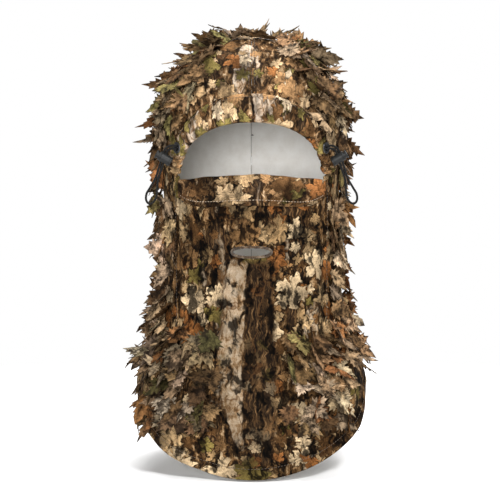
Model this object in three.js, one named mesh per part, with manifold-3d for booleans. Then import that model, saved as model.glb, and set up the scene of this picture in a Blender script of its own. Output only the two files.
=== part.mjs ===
// Leafy camouflage face mask (hunting balaclava) in the shape it has when worn, in millimetres.
// +Z is up, the face looks along -Y, and left and right are the wearer's, so left is +X.
// Heights are counted from the lowest point of the front hem; the last group moves the origin to the crown seat,
// the inside of the hood's highest point, where the head carries the mask.
import * as THREE from "three";
import { mergeVertices } from "three/addons/utils/BufferGeometryUtils.js";
import Module from "manifold-3d";

const wasm = await Module();
wasm.setup();

const degrees = THREE.MathUtils.degToRad;

// ---------- driving dimensions ----------
const CLOTH = 2; // the doubled stretch cloth
const GAP = 0.3; // between pieces that are sewn or laid together

// The worn garment: height, half width, front depth and back depth of its horizontal section.
const SECTIONS = [
  [0, 122, 124, 118],
  [50, 118, 118, 112],
  [94, 110, 108, 98],
  [130, 95, 100, 86],
  [165, 87, 98, 80],
  [205, 85, 102, 82],
  [250, 86, 103, 89],
  [290, 88, 99, 96],
  [326, 89, 97, 100],
];
const DOME_RISE = 93; // from the widest section to the top of the hood
const DOME_ARC = 146; // the same way along the cloth
const DOME_POWER = 0.92; // under 1 squares the dome a little
const NOSE = { out: 10, wide: 20, z: 258, above: 26, below: 15 };

const HEM_RISE = 76; // the sides hang this much higher than the front, over the shoulders
const HEM_CORNER = 32; // how much of that rise the bib's rounded corners take
const HEM_BACK = 30; // the back hem over the front hem
const HEM_WIDTH = 13;
const HEM_CLOTH = 3;

// The face opening, seen from the front: half of a superellipse on the corners' height.
const OPENING = { half: 70, base: 281, rise: 54, power: 2.2 };
const CASING_TOP = 28; // width of the drawcord casing over the brow
const CASING_SIDE = 17; // and beside the cheekbones
const CASING_THICK = 7;
const CASING_WALL = 1.2;
const CASING_LIFT = 0.4; // its middle over the cloth's outer face
const CASING_FROM = degrees(86); // the casing's ends, from its top

const BAND_DEPTH = 29; // the folded top edge of the face cover
const BAND_PEAK = 6; // its rise over the nose bridge
const BAND_CLOTH = 3;
const BAND_TRAVEL = 22; // how far it pulls down off the nose
const LIP_HEIGHT = 230; // between the nose panels and the mouth panels
const CHIN_HEIGHT = 168; // between the mouth panels and the bib
const NECK_HEIGHT = 142; // between the cheek and nape panels and the bib
const EAR_HEIGHT = 304; // between those panels and the crown
const SIDE_DEPTH = 22; // where the cheek panels meet the nape panels

const SLOT = { z: 213.5, half: 18.5, tall: 9, binding: 2.4 };

const CORD = 2.2;
const STRANDS = CORD + 0.6; // between the two strands of a cord loop
const HOLE = (STRANDS + CORD) / 2 + 0.6; // radius of a hole that both strands pass through
const EYELET_AT = degrees(66); // along the casing, from its top
const EYELET = { hole: HOLE, tube: HOLE + 0.5, flange: HOLE + 2.5, thick: 0.8, deep: 1.9 };
const LOOP = { out: 3, bend: 7, tilt: degrees(18), straight: 21, drop: 46, half: 4.9 };
const LOCK = {
  radius: 4.7, bore: 3.6, floor: 1.2, plunger: 3.3, spring: 2.4, wall: 1, slotWide: CORD + 0.8,
  travel: 1.4, head: 4.2, headThick: 2, lean: degrees(12), drop: 6,
};
const SPRING = { radius: 2.4, wire: 0.5, turns: 2 };

const LEAF = { long: 31, wide: 30, thick: 0.8, tilt: degrees(22), pitch: 35 };
const RIBBON = { wide: 7, thick: 0.9, lift: 0.9 };

// ---------- colours ----------
const cloth = (color) => new THREE.MeshStandardMaterial({ color, roughness: 0.9, metalness: 0 });
const PRINT = cloth(0x6f5a41);
const PRINT_DARK = cloth(0x4c3f2f);
const LEAF_CLOTH = cloth(0x8b6c4a);
const CORD_BLACK = cloth(0x101010);
const PLASTIC = new THREE.MeshStandardMaterial({ color: 0x15191a, roughness: 0.45, metalness: 0 });
const STEEL = new THREE.MeshStandardMaterial({ color: 0x55585a, roughness: 0.35, metalness: 0.9 });

// ---------- meshes and solids ----------
const at = (x, y, z) => new THREE.Vector3(x, y, z);

// A closed body through rings of points. A ring of one point closes an end; other open ends get a fan.
function loft(rings, around = false) {
  const points = [];
  const faces = [];
  const starts = rings.map((ring) => points.push(...ring) - ring.length);
  const join = (i, j) => {
    const n = Math.max(rings[i].length, rings[j].length);
    for (let k = 0; k < n; k++) {
      const [a, b] = rings[i].length === 1 ? [0, 0] : [k, (k + 1) % n];
      const [c, d] = rings[j].length === 1 ? [0, 0] : [k, (k + 1) % n];
      if (a !== b) faces.push(starts[i] + a, starts[i] + b, starts[j] + c);
      if (c !== d) faces.push(starts[i] + b, starts[j] + d, starts[j] + c);
    }
  };
  for (let i = 0; i + 1 < rings.length; i++) join(i, i + 1);
  const last = rings.length - 1;
  if (around) join(last, 0);
  const fan = (i, backwards) => {
    const n = rings[i].length;
    for (let k = 1; k + 1 < n; k++) {
      const [a, b] = backwards ? [k + 1, k] : [k, k + 1];
      faces.push(starts[i], starts[i] + a, starts[i] + b);
    }
  };
  if (!around && rings[0].length > 1) fan(0, true);
  if (!around && rings[last].length > 1) fan(last, false);
  return facingOut(points, faces);
}

function facingOut(points, faces) {
  let volume = 0;
  for (let i = 0; i < faces.length; i += 3) {
    const [a, b, c] = [points[faces[i]], points[faces[i + 1]], points[faces[i + 2]]];
    volume += a.dot(b.clone().cross(c));
  }
  if (volume < 0) faces.reverse();
  const geometry = new THREE.BufferGeometry().setFromPoints(points);
  geometry.setIndex(faces);
  return geometry;
}

function solid(geometry) {
  const bare = new THREE.BufferGeometry().setAttribute("position", geometry.getAttribute("position"));
  bare.setIndex(geometry.index);
  const merged = mergeVertices(bare, 1e-4);
  const mesh = { numProp: 3, vertProperties: merged.attributes.position.array, triVerts: merged.index.array };
  return new wasm.Manifold(new wasm.Mesh(mesh));
}

function geometryOf(body) {
  const mesh = body.getMesh();
  const geometry = new THREE.BufferGeometry();
  geometry.setAttribute("position", new THREE.BufferAttribute(mesh.vertProperties, 3));
  return geometry.setIndex(new THREE.BufferAttribute(mesh.triVerts, 1));
}

function box(x0, x1, y0, y1, z0, z1) {
  const geometry = new THREE.BoxGeometry(x1 - x0, y1 - y0, z1 - z0);
  return solid(geometry.translate((x0 + x1) / 2, (y0 + y1) / 2, (z0 + z1) / 2));
}

// A prism along Y through an outline drawn in X and Z.
function prism(outline, y0, y1) {
  const shape = new THREE.Shape(outline.map(([x, z]) => new THREE.Vector2(x, z)));
  const geometry = new THREE.ExtrudeGeometry(shape, { depth: y1 - y0, bevelEnabled: false });
  return solid(geometry.rotateX(Math.PI / 2).translate(0, y1, 0));
}

function cylinder(radius, from, to, sides = 16) {
  return new THREE.CylinderGeometry(radius, radius, to - from, sides)
    .rotateX(Math.PI / 2)
    .translate(0, 0, (from + to) / 2);
}

function tube(curve, diameter, steps, sides = 8) {
  const section = new THREE.Shape();
  section.absarc(0, 0, diameter / 2, 0, 2 * Math.PI);
  const options = { extrudePath: curve, steps, bevelEnabled: false, curveSegments: sides / 2 };
  return new THREE.ExtrudeGeometry(section, options);
}

const part = new THREE.Group();
const worn = new THREE.Group();
part.add(worn);
function add(name, geometry, material, group = worn) {
  const mesh = new THREE.Mesh(geometry, material);
  mesh.name = name;
  group.add(mesh);
}

// ---------- the worn shape ----------
// One column of SECTIONS at a height: a cubic through the rows, level where it meets the dome.
function sectionAt(z, column) {
  let i = 0;
  while (i < SECTIONS.length - 2 && z > SECTIONS[i + 1][0]) i++;
  const slope = (k) => {
    if (k === SECTIONS.length - 1) return 0;
    const [p, q] = [SECTIONS[Math.max(k - 1, 0)], SECTIONS[k + 1]];
    return (q[column] - p[column]) / (q[0] - p[0]);
  };
  const [p, q] = [SECTIONS[i], SECTIONS[i + 1]];
  const span = q[0] - p[0];
  const t = (z - p[0]) / span;
  const [t2, t3] = [t * t, t * t * t];
  return (
    (2 * t3 - 3 * t2 + 1) * p[column] + (t3 - 2 * t2 + t) * span * slope(i) +
    (3 * t2 - 2 * t3) * q[column] + (t3 - t2) * span * slope(i + 1)
  );
}

const WIDEST = SECTIONS.at(-1)[0];
const POLE = WIDEST + DOME_ARC;


function noseAt(x, z) {
  const reach = z > NOSE.z ? NOSE.above : NOSE.below;
  return NOSE.out * Math.exp(-((x / NOSE.wide) ** 2) - ((z - NOSE.z) / reach) ** 2);
}

// A point of the cloth's outer face, moved out by `lift`: azimuth from the front, and height along the cloth.
function surface(azimuth, along, lift = 0) {
  const [s, c] = [Math.sin(azimuth), Math.cos(azimuth)];
  const low = Math.min(along, WIDEST);
  const lean = Math.min(Math.max((along - WIDEST) / DOME_ARC, 0), 1) * (Math.PI / 2);
  const round = Math.max(Math.cos(lean), 0) ** DOME_POWER;
  const z = low + (lean > 0 ? (DOME_RISE + lift) * Math.sin(lean) ** DOME_POWER : 0);
  const x = (sectionAt(low, 1) + lift) * round * s;
  const depth = (sectionAt(low, c > 0 ? 2 : 3) + lift) * round;
  return at(x, -depth * c - (c > 0 ? noseAt(x, z) * c : 0), z);
}

// The azimuth where the front of the cloth stands over a given X, and the point there at a height under the dome.
const azimuthOver = (x, z) => Math.asin(x / sectionAt(Math.min(z, WIDEST), 1));

function outward(azimuth, along) {
  const step = 0.01;
  const sideways = surface(azimuth + step, along).sub(surface(azimuth - step, along));
  const upwards = surface(azimuth, along + 1).sub(surface(azimuth, along - 1));
  return sideways.cross(upwards).normalize();
}

function hemHeight(azimuth) {
  const side = Math.abs(Math.sin(azimuth));
  const back = Math.cos(azimuth) < 0 ? HEM_BACK * Math.cos(azimuth) ** 2 : 0;
  return (HEM_RISE - HEM_CORNER) * side ** 2 + HEM_CORNER * side ** 10 + back;
}

// Azimuths all round, closer together over the face and the shoulders.
const AROUND = [];
for (let d = -180; d < 180; d += Math.abs(d + 0.1) < 114 ? 6 : 11) AROUND.push(degrees(d));

// The shell's own azimuths between two, with both ends.
function azimuthsBetween(a, b) {
  const round = [...AROUND, ...AROUND.map((azimuth) => azimuth + 2 * Math.PI)];
  const inside = round.filter((azimuth) => azimuth > Math.min(a, b) + 0.01 && azimuth < Math.max(a, b) - 0.01);
  return [Math.min(a, b), ...inside, Math.max(a, b)];
}

// ---------- main cloth shell, cut into its pattern pieces ----------
const SHELL_ROWS = 19;
function shellSkin(lift) {
  const rows = [];
  for (let r = 0; r < SHELL_ROWS; r++) {
    rows.push(AROUND.map((azimuth) => {
      const low = hemHeight(azimuth) + HEM_WIDTH + GAP;
      return surface(azimuth, low + (POLE - low) * (r / SHELL_ROWS), lift);
    }));
  }
  rows.push([surface(0, POLE, lift)]);
  return rows;
}
const shell = solid(loft([...shellSkin(-CLOTH).reverse(), ...shellSkin(0)]));

// The opening's outline grown by the casing: half of a superellipse, from corner to corner.
function archPoint(turn, share) {
  const half = OPENING.half + (casingOuterHalf() - OPENING.half) * share;
  const rise = OPENING.rise + CASING_TOP * share;
  const power = 2 / OPENING.power;
  const x = half * Math.sign(turn) * Math.abs(Math.sin(turn)) ** power;
  return [x, OPENING.base + rise * Math.cos(turn) ** power];
}

// At the corners the casing runs round the temple: its outer edge, seen from the front.
function casingOuterHalf() {
  const width = sectionAt(OPENING.base, 1);
  const depth = sectionAt(OPENING.base, 2);
  const inner = azimuthOver(OPENING.half, OPENING.base);
  const perRadian = Math.hypot(width * Math.cos(inner), depth * Math.sin(inner));
  return width * Math.sin(inner + CASING_SIDE / perRadian);
}

const ARCH_STEPS = 26;
function archOutline(share, grow) {
  const outline = [];
  for (let i = 0; i <= ARCH_STEPS; i++) {
    const [x, z] = archPoint(Math.PI * (i / ARCH_STEPS - 0.5) * 0.9999, share);
    outline.push([x * (1 + grow / OPENING.half), z + grow]);
  }
  return outline;
}

const FAR = 400;
const H = GAP / 2;
const outsideOpening = shell.subtract(prism(archOutline(1, GAP), -FAR, 0));
const frontColumn = box(-OPENING.half, OPENING.half, -FAR, 0, -FAR, OPENING.base);
const besideFront = outsideOpening.subtract(
  box(-OPENING.half - H, OPENING.half + H, -FAR, 0, -FAR, OPENING.base + 1),
);
const overFront = shell.intersect(frontColumn);

// The face cover's top edge and the seam under it, as heights over X.
const bandTop = (x) => OPENING.base + BAND_PEAK * (1 - (x / OPENING.half) ** 2) ** 1.5 - H;
const bandBottom = (x) => bandTop(x) - BAND_DEPTH * (1 - (x / OPENING.half) ** 6 * 0.45);

const BAND_COLUMNS = 20;
function underBand(drop) {
  const outline = [[-FAR, -FAR], [FAR, -FAR], [FAR, bandBottom(OPENING.half) - drop]];
  for (let i = BAND_COLUMNS; i >= 0; i--) {
    const x = OPENING.half * (2 * (i / BAND_COLUMNS) - 1);
    outline.push([x, bandBottom(x) - drop]);
  }
  outline.push([-FAR, bandBottom(OPENING.half) - drop]);
  return prism(outline, -FAR, 0);
}

const sides = [["left", 1], ["right", -1]];
const half = (side, from = H) => (side > 0 ? box(from, FAR, -FAR, FAR, -FAR, 2 * FAR)
  : box(-FAR, -from, -FAR, FAR, -FAR, 2 * FAR));
const front = box(-FAR, FAR, -FAR, SIDE_DEPTH - H, -FAR, FAR);
const rear = box(-FAR, FAR, SIDE_DEPTH + H, FAR, -FAR, FAR);
const between = (z0, z1) => box(-FAR, FAR, -FAR, FAR, z0 + H, z1 - H);

function slotOutline(grow) {
  const radius = SLOT.tall / 2 + grow;
  const straight = SLOT.half - SLOT.tall / 2;
  const outline = [];
  for (const [centre, from] of [[straight, -90], [-straight, 90]]) {
    for (let d = 0; d <= 180; d += 30) {
      const a = degrees(from + d);
      outline.push([centre + radius * Math.cos(a), SLOT.z + radius * Math.sin(a)]);
    }
  }
  return outline;
}
const slotHole = prism(slotOutline(SLOT.binding / 2 + GAP), -FAR, 0);

for (const [name, side] of sides) {
  const here = half(side);
  const piece = (title, body, material = PRINT) => add(title + "_" + name, geometryOf(body), material);
  piece("crown_panel", outsideOpening.intersect(here).intersect(between(EAR_HEIGHT, FAR * 2)));
  const face = besideFront.intersect(here);
  piece("cheek_panel", face.intersect(front).intersect(between(NECK_HEIGHT, EAR_HEIGHT)), PRINT_DARK);
  piece("nape_panel", face.intersect(rear).intersect(between(NECK_HEIGHT, EAR_HEIGHT)));
  piece("shoulder_panel", face.intersect(front).intersect(between(-FAR, NECK_HEIGHT)));
  piece("back_bib", face.intersect(rear).intersect(between(-FAR, NECK_HEIGHT)), PRINT_DARK);
  const cover = overFront.intersect(here);
  piece("nose_panel", cover.intersect(underBand(GAP)).intersect(between(LIP_HEIGHT, FAR)), PRINT_DARK);
  piece("mouth_panel", cover.subtract(slotHole).intersect(between(CHIN_HEIGHT, LIP_HEIGHT)));
  piece("front_bib", cover.intersect(between(-FAR, CHIN_HEIGHT)), PRINT_DARK);
}

// ---------- patches that lie on the worn shape ----------
// A sheet over columns of [azimuth, along] places, from `low` to `high` over the cloth's outer face.
function patch(columns, low, high, around = false) {
  const corner = ([azimuth, along], lift) =>
    surface(azimuth, along).addScaledVector(outward(azimuth, along), lift);
  const rings = columns.map((column) => [
    ...column.map((place) => corner(place, high)),
    ...column.map((place) => corner(place, low)).reverse(),
  ]);
  return solid(loft(rings, around));
}

const hem = patch(AROUND.map((azimuth) =>
  [0, 1].map((v) => [azimuth, hemHeight(azimuth) + HEM_WIDTH * v])), -HEM_CLOTH / 2 - 1, HEM_CLOTH / 2 - 1, true);
const bandColumns = [];
for (let i = 0; i <= 2 * BAND_COLUMNS; i++) {
  const x = OPENING.half * (i / BAND_COLUMNS - 1);
  const heights = [-1, 8, 18, BAND_DEPTH].map((v) => Math.min(bandTop(x), bandTop(x) - BAND_DEPTH + v));
  bandColumns.push(heights.map((z) => [azimuthOver(x, z), z]));
}
const bandColumn = box(-OPENING.half + H, OPENING.half - H, -FAR, 0, -FAR, FAR);
const band = patch(bandColumns, -CLOTH, BAND_CLOTH - CLOTH).intersect(bandColumn).subtract(underBand(0));
for (const [name, side] of sides) {
  add("nose_band_" + name, geometryOf(band.intersect(half(side))), PRINT);
  add("front_hem_" + name, geometryOf(hem.intersect(half(side)).intersect(front)), PRINT_DARK);
  add("back_hem_" + name, geometryOf(hem.intersect(half(side)).intersect(rear)), PRINT_DARK);
}

// ---------- drawcord casing over the brow ----------
// The casing's section at a turn from its top: its middle, its way across and its way out.
function casingFrame(turn) {
  const edge = (share) => {
    const [x, z] = archPoint(turn, share);
    const dome = Math.asin(Math.min(Math.max((z - WIDEST) / DOME_RISE, 0), 1) ** (1 / DOME_POWER));
    const along = z > WIDEST ? WIDEST + (dome / (Math.PI / 2)) * DOME_ARC : z;
    const round = Math.cos(dome) ** DOME_POWER;
    const azimuth = Math.asin(x / (sectionAt(Math.min(z, WIDEST), 1) * round));
    return [surface(azimuth, along), outward(azimuth, along)];
  };
  const [inner, normal] = edge(0);
  const [outer, normalOut] = edge(1);
  const across = outer.clone().sub(inner);
  const middle = inner.add(outer).multiplyScalar(0.5);
  const out = normal.add(normalOut);
  out.addScaledVector(across, -out.dot(across) / across.lengthSq()).normalize();
  middle.addScaledVector(out, CASING_LIFT);
  return { middle, out, across: across.multiplyScalar(0.5) };
}

const CASING_STEPS = 26;
const CASING_SIDES = 10;
function casingBody(wall, overrun) {
  const rings = [];
  for (let i = 0; i <= CASING_STEPS; i++) {
    const turn = (CASING_FROM + overrun) * ((2 * i) / CASING_STEPS - 1);
    const { middle, out, across } = casingFrame(turn);
    const wide = across.length() - GAP - wall;
    const thick = CASING_THICK / 2 - wall;
    const ring = [];
    for (let k = 0; k < CASING_SIDES; k++) {
      const a = (2 * Math.PI * k) / CASING_SIDES;
      ring.push(middle.clone().addScaledVector(across.clone().normalize(), wide * Math.cos(a))
        .addScaledVector(out, thick * Math.sin(a)));
    }
    rings.push(ring);
  }
  return solid(loft(rings));
}

function eyeletFrame(side) {
  const { middle, out, across } = casingFrame(side * EYELET_AT);
  const face = middle.clone().addScaledVector(out, CASING_THICK / 2);
  return { face, out, middle, across: across.normalize() };
}

// A body turned about Z from a profile of [radius, height].
function turned(profile, around = false, sides = 16) {
  return loft(profile.map(([radius, height]) => {
    const ring = [];
    for (let k = 0; k < (radius > 0 ? sides : 1); k++) {
      const a = (2 * Math.PI * k) / sides;
      ring.push(at(radius * Math.cos(a), radius * Math.sin(a), height));
    }
    return ring;
  }), around);
}

function placed(geometry, origin, zAxis) {
  const turn = new THREE.Quaternion().setFromUnitVectors(at(0, 0, 1), zAxis);
  return geometry.applyQuaternion(turn).translate(origin.x, origin.y, origin.z);
}

let casing = casingBody(0, 0).subtract(casingBody(CASING_WALL, degrees(2)));
for (const [name, side] of sides) {
  const { face, out } = eyeletFrame(side);
  const hole = placed(cylinder(EYELET.tube + GAP, -CASING_THICK / 2, CASING_THICK), face, out);
  casing = casing.subtract(solid(hole));
  const inner = EYELET.hole;
  const rim = [
    [inner, -EYELET.deep], [EYELET.tube, -EYELET.deep], [EYELET.tube, GAP], [EYELET.flange, GAP],
    [EYELET.flange - 0.3, GAP + EYELET.thick], [inner, GAP + EYELET.thick],
  ];
  add("cord_eyelet_" + name, placed(turned(rim, true), face, out), STEEL);
}
add("brow_casing", geometryOf(casing), PRINT);

const drawcordPoints = [];
const DRAWCORD_TO = EYELET_AT - degrees(3); // short of the loops' strands
for (let i = -12; i <= 12; i++) {
  const { middle, out } = casingFrame((DRAWCORD_TO * i) / 12);
  drawcordPoints.push(middle.addScaledVector(out, GAP + CORD / 2 + CASING_WALL - CASING_THICK / 2));
}
add("brow_drawcord", tube(new THREE.CatmullRomCurve3(drawcordPoints), CORD, 24), CORD_BLACK);

// ---------- cord loops and cord locks ----------
for (const [name, side] of sides) {
  const { face, out } = eyeletFrame(side);
  const down = at(side * Math.sin(LOOP.tilt), 0, -Math.cos(LOOP.tilt));
  const aside = at(side * Math.cos(LOOP.tilt), 0, Math.sin(LOOP.tilt));
  const away = out.clone().addScaledVector(down, -out.dot(down)).normalize();
  const turnAt = face.clone().addScaledVector(away, LOOP.out).addScaledVector(down, LOOP.bend);
  const lockAt = turnAt.clone().addScaledVector(aside, LOOP.bend).addScaledVector(down, LOCK.drop);

  // One strand from inside the eyelet to the loop's lowest point; d is its place beside the other strand.
  const strand = (d) => {
    const bend = LOOP.bend + d;
    const points = [face.clone().addScaledVector(away, -CASING_THICK / 2 + CORD / 2 + GAP).addScaledVector(down, -d)];
    for (const turn of [0, 0.25, 0.5, 0.75, 1]) {
      const a = (turn * Math.PI) / 2;
      const towards = away.clone().lerp(aside, turn).normalize();
      points.push(turnAt.clone().addScaledVector(down, -bend * Math.cos(a)).addScaledVector(towards, bend * Math.sin(a)));
    }
    const spread = (along, offset) =>
      points.push(lockAt.clone().addScaledVector(down, along).addScaledVector(aside, Math.sign(d) * offset));
    for (const along of [0, LOOP.straight / 2, LOOP.straight]) spread(along, Math.abs(d));
    spread(LOOP.drop * 0.68, LOOP.half * 0.72);
    spread(LOOP.drop * 0.83, LOOP.half);
    spread(LOOP.drop * 0.955, LOOP.half * 0.66);
    return points;
  };
  const end = lockAt.clone().addScaledVector(down, LOOP.drop);
  const path = [...strand(STRANDS / 2), end, ...strand(-STRANDS / 2).reverse()];
  add("cord_loop_" + name, tube(new THREE.CatmullRomCurve3(path, false, "centripetal"), CORD, 38), CORD_BLACK);

  // The lock's own frame: Z along the button, Y across both the button and the cord. It leans on the cord.
  const button = aside.clone().multiplyScalar(Math.cos(LOCK.lean)).addScaledVector(down, -Math.sin(LOCK.lean));
  const beside = button.clone().cross(down).normalize();
  const lock = new THREE.Group();
  lock.matrixAutoUpdate = false;
  lock.matrix.makeBasis(beside.clone().cross(button), beside, button).setPosition(lockAt);
  worn.add(lock);

  // Heights along the button from the barrel's closed end: the cord crosses the slots at a slant.
  const slant = LOCK.radius * Math.tan(LOCK.lean);
  const slotHalf = STRANDS / 2 + CORD / 2 + GAP + slant;
  const plungerFrom = LOCK.floor + LOCK.spring;
  const slotFrom = plungerFrom + LOCK.wall;
  const slotTo = slotFrom + 2 * slotHalf;
  const length = slotTo + LOCK.wall;
  const shift = -(slotFrom + slotHalf);
  const slot = (from, to) => box(-FAR, FAR, -LOCK.slotWide / 2, LOCK.slotWide / 2, from, to);
  const barrel = solid(cylinder(LOCK.radius, 0, length))
    .subtract(solid(cylinder(LOCK.bore, LOCK.floor, length + 1)))
    .subtract(slot(slotFrom - LOCK.travel, slotTo));
  add("lock_barrel_" + name, geometryOf(barrel).translate(0, 0, shift), PLASTIC, lock);
  const headFrom = length + LOCK.travel + GAP;
  const head = turned([
    [0, headFrom], [LOCK.head, headFrom], [LOCK.head, headFrom + LOCK.headThick * 0.5],
    [LOCK.head * 0.8, headFrom + LOCK.headThick * 0.85], [0, headFrom + LOCK.headThick],
  ]);
  const plunger = solid(cylinder(LOCK.plunger, plungerFrom, headFrom + 0.5))
    .subtract(slot(slotFrom, slotTo + LOCK.travel))
    .add(solid(head));
  add("lock_button_" + name, geometryOf(plunger).translate(0, 0, shift), PLASTIC, lock);
  const low = LOCK.floor + SPRING.wire / 2 + 0.1;
  const high = plungerFrom - SPRING.wire / 2 - 0.1;
  const coil = [];
  for (let i = 0; i <= SPRING.turns * 8; i++) {
    const a = (2 * Math.PI * i) / 8;
    coil.push(at(SPRING.radius * Math.cos(a), SPRING.radius * Math.sin(a), low + ((high - low) * i) / (SPRING.turns * 8)));
  }
  const wire = tube(new THREE.CatmullRomCurve3(coil), SPRING.wire, SPRING.turns * 10, 6);
  add("lock_spring_" + name, wire.translate(0, 0, shift), STEEL, lock);
}

// ---------- mouth slot binding ----------
function onFront(x, z, lift) {
  const azimuth = azimuthOver(x, z);
  return surface(azimuth, z).addScaledVector(outward(azimuth, z), lift);
}
const slotPath = slotOutline(0);
const bindingRings = slotPath.map(([x, z], i) => {
  const [px, pz] = slotPath[(i + slotPath.length - 1) % slotPath.length];
  const [qx, qz] = slotPath[(i + 1) % slotPath.length];
  const along = onFront(qx, qz, 0).sub(onFront(px, pz, 0)).normalize();
  const out = outward(azimuthOver(x, z), z);
  const across = out.clone().cross(along);
  const middle = onFront(x, z, -CLOTH / 2);
  const ring = [];
  for (let k = 0; k < 8; k++) {
    const a = (2 * Math.PI * k) / 8;
    ring.push(middle.clone().addScaledVector(out, (SLOT.binding / 2) * Math.sin(a) * 1.25)
      .addScaledVector(across, (SLOT.binding / 2) * Math.cos(a)));
  }
  return ring;
});
add("mouth_slot_binding", loft(bindingRings, true), PRINT_DARK);

// ---------- leaf strips ----------
// Half of a maple leaf's outline, from its stem to its tip: share of the width, share of the length.
const LEAF_OUTLINE = [[0, 0], [0.38, 0.1], [0.5, 0.46], [0.25, 0.47], [0, 1]];
function leaf(azimuth, along, lift) {
  const normal = outward(azimuth, along);
  const upwards = surface(azimuth, along + 1).sub(surface(azimuth, along - 1)).normalize();
  const sideways = upwards.clone().cross(normal).normalize();
  const downwards = upwards.multiplyScalar(-Math.cos(LEAF.tilt)).addScaledVector(normal, Math.sin(LEAF.tilt));
  const face = downwards.clone().cross(sideways).normalize();
  if (face.dot(normal) < 0) face.negate();
  const root = surface(azimuth, along).addScaledVector(normal, lift).addScaledVector(downwards, -2);
  const right = LEAF_OUTLINE.map(([w, l]) => [w * LEAF.wide, l * LEAF.long]);
  const outline = [...right, ...right.slice(1, -1).reverse().map(([w, l]) => [-w, l])];
  const ring = (out) => outline.map(([w, l]) =>
    root.clone().addScaledVector(sideways, w).addScaledVector(downwards, l).addScaledVector(face, out));
  const middle = (out) => [root.clone().addScaledVector(downwards, LEAF.long * 0.4).addScaledVector(face, out)];
  return solid(loft([middle(0), ring(0), ring(LEAF.thick), middle(LEAF.thick + 1)]));
}

function leafStrip(name, along, from, to) {
  const [a, b] = [degrees(from), degrees(to)];
  const middle = surface((a + b) / 2, along);
  const reach = Math.hypot(surface(a, along).x - middle.x, surface(a, along).y - middle.y);
  const radius = Math.hypot(middle.x, middle.y) * 0.5 + reach * 0.25;
  const length = Math.abs(b - a) * Math.max(radius, 20);
  const count = Math.max(2, Math.round(length / LEAF.pitch));
  const columns = azimuthsBetween(a, b).map((azimuth) =>
    [-0.5, 0.5].map((v) => [azimuth, along + RIBBON.wide * v]));
  let strip = patch(columns, RIBBON.lift, RIBBON.lift + RIBBON.thick);
  for (let i = 0; i < count; i++) {
    strip = strip.add(leaf(a + ((b - a) * (i + 0.5)) / count, along, RIBBON.lift + RIBBON.thick / 2));
  }
  add(name, geometryOf(strip), LEAF_CLOTH);
}

// Long rows round the back: height along the cloth, and the azimuth where they start beside the face.
const CROWN_ROWS = [[POLE - 24, 40], [POLE - 56, 52], [POLE - 88, 64], [POLE - 120, 74]];
const SIDE_ROWS = [[318, 76], [285, 79], [252, 76], [219, 60], [186, 58], [153, 56], [122, 58]];
CROWN_ROWS.forEach(([along, from], i) => leafStrip("crown_leaves_" + (i + 1), along, from, 360 - from));
SIDE_ROWS.forEach(([along, from], i) => leafStrip("neck_leaves_" + (i + 1), along, from, 360 - from));
// Short rows on the front bib, each side of the plain middle.
const BIB_ROWS = [[128, 20, 48], [97, 19, 47], [66, 18, 44]];
for (const [name, side] of sides) {
  BIB_ROWS.forEach(([along, from, to], i) =>
    leafStrip("bib_leaves_" + name + "_" + (i + 1), along, side * from, side * to));
}

worn.position.z = -(WIDEST + DOME_RISE - CLOTH);
export default part;
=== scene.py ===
# Leafy camouflage face mask, worn shape. Shapes are worked out in millimetres over the lowest point of the
# front hem, as in the CAD model, and `place` turns them into the frame's metres.
import math
import random

import bmesh
import bpy
import numpy as np
from mathutils import Matrix, Vector, noise
from mathutils.bvhtree import BVHTree


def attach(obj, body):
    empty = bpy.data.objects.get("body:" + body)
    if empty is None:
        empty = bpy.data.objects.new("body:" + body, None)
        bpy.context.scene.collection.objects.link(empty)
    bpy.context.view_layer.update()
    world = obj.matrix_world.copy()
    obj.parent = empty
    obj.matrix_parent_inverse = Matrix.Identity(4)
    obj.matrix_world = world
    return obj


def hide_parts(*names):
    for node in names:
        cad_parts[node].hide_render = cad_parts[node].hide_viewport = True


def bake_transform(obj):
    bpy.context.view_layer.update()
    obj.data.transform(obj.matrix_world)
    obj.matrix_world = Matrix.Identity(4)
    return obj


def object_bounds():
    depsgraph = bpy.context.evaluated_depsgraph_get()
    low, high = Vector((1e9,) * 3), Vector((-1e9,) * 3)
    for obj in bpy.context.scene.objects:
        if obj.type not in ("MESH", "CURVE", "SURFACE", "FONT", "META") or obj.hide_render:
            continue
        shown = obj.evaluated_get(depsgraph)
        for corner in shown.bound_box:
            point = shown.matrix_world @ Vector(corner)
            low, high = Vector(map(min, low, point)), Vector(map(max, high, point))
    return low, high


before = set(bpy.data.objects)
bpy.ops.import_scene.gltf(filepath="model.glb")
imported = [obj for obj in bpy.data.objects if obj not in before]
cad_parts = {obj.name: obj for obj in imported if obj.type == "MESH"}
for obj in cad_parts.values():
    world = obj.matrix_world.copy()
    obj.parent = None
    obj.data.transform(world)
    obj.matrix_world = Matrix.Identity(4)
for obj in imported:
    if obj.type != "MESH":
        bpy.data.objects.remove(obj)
cad_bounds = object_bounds()

# ---------- the worn shape, in millimetres ----------
SECTIONS = np.array([
    [0, 122, 124, 118],
    [50, 118, 118, 112],
    [94, 110, 108, 98],
    [130, 95, 100, 86],
    [165, 87, 98, 80],
    [205, 85, 102, 82],
    [250, 86, 103, 89],
    [290, 88, 99, 96],
    [326, 89, 97, 100],
], dtype=float)  # height, half width, front depth, back depth
WIDEST = 326.0
DOME_RISE = 93.0
DOME_ARC = 146.0
DOME_POWER = 0.92
POLE = WIDEST + DOME_ARC
CLOTH = 2.0
SEAT = WIDEST + DOME_RISE - CLOTH  # the frame's origin
NOSE = dict(out=10, wide=20, z=258, above=26, below=15)
HEM_RISE, HEM_CORNER, HEM_BACK, HEM_WIDTH = 76.0, 32.0, 30.0, 13.0
OPENING = dict(half=70.0, base=281.0, rise=54.0, power=2.2)
CASING_TOP, CASING_SIDE, CASING_THICK, CASING_LIFT = 28.0, 17.0, 7.0, 0.4
CASING_FROM = math.radians(86)
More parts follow.
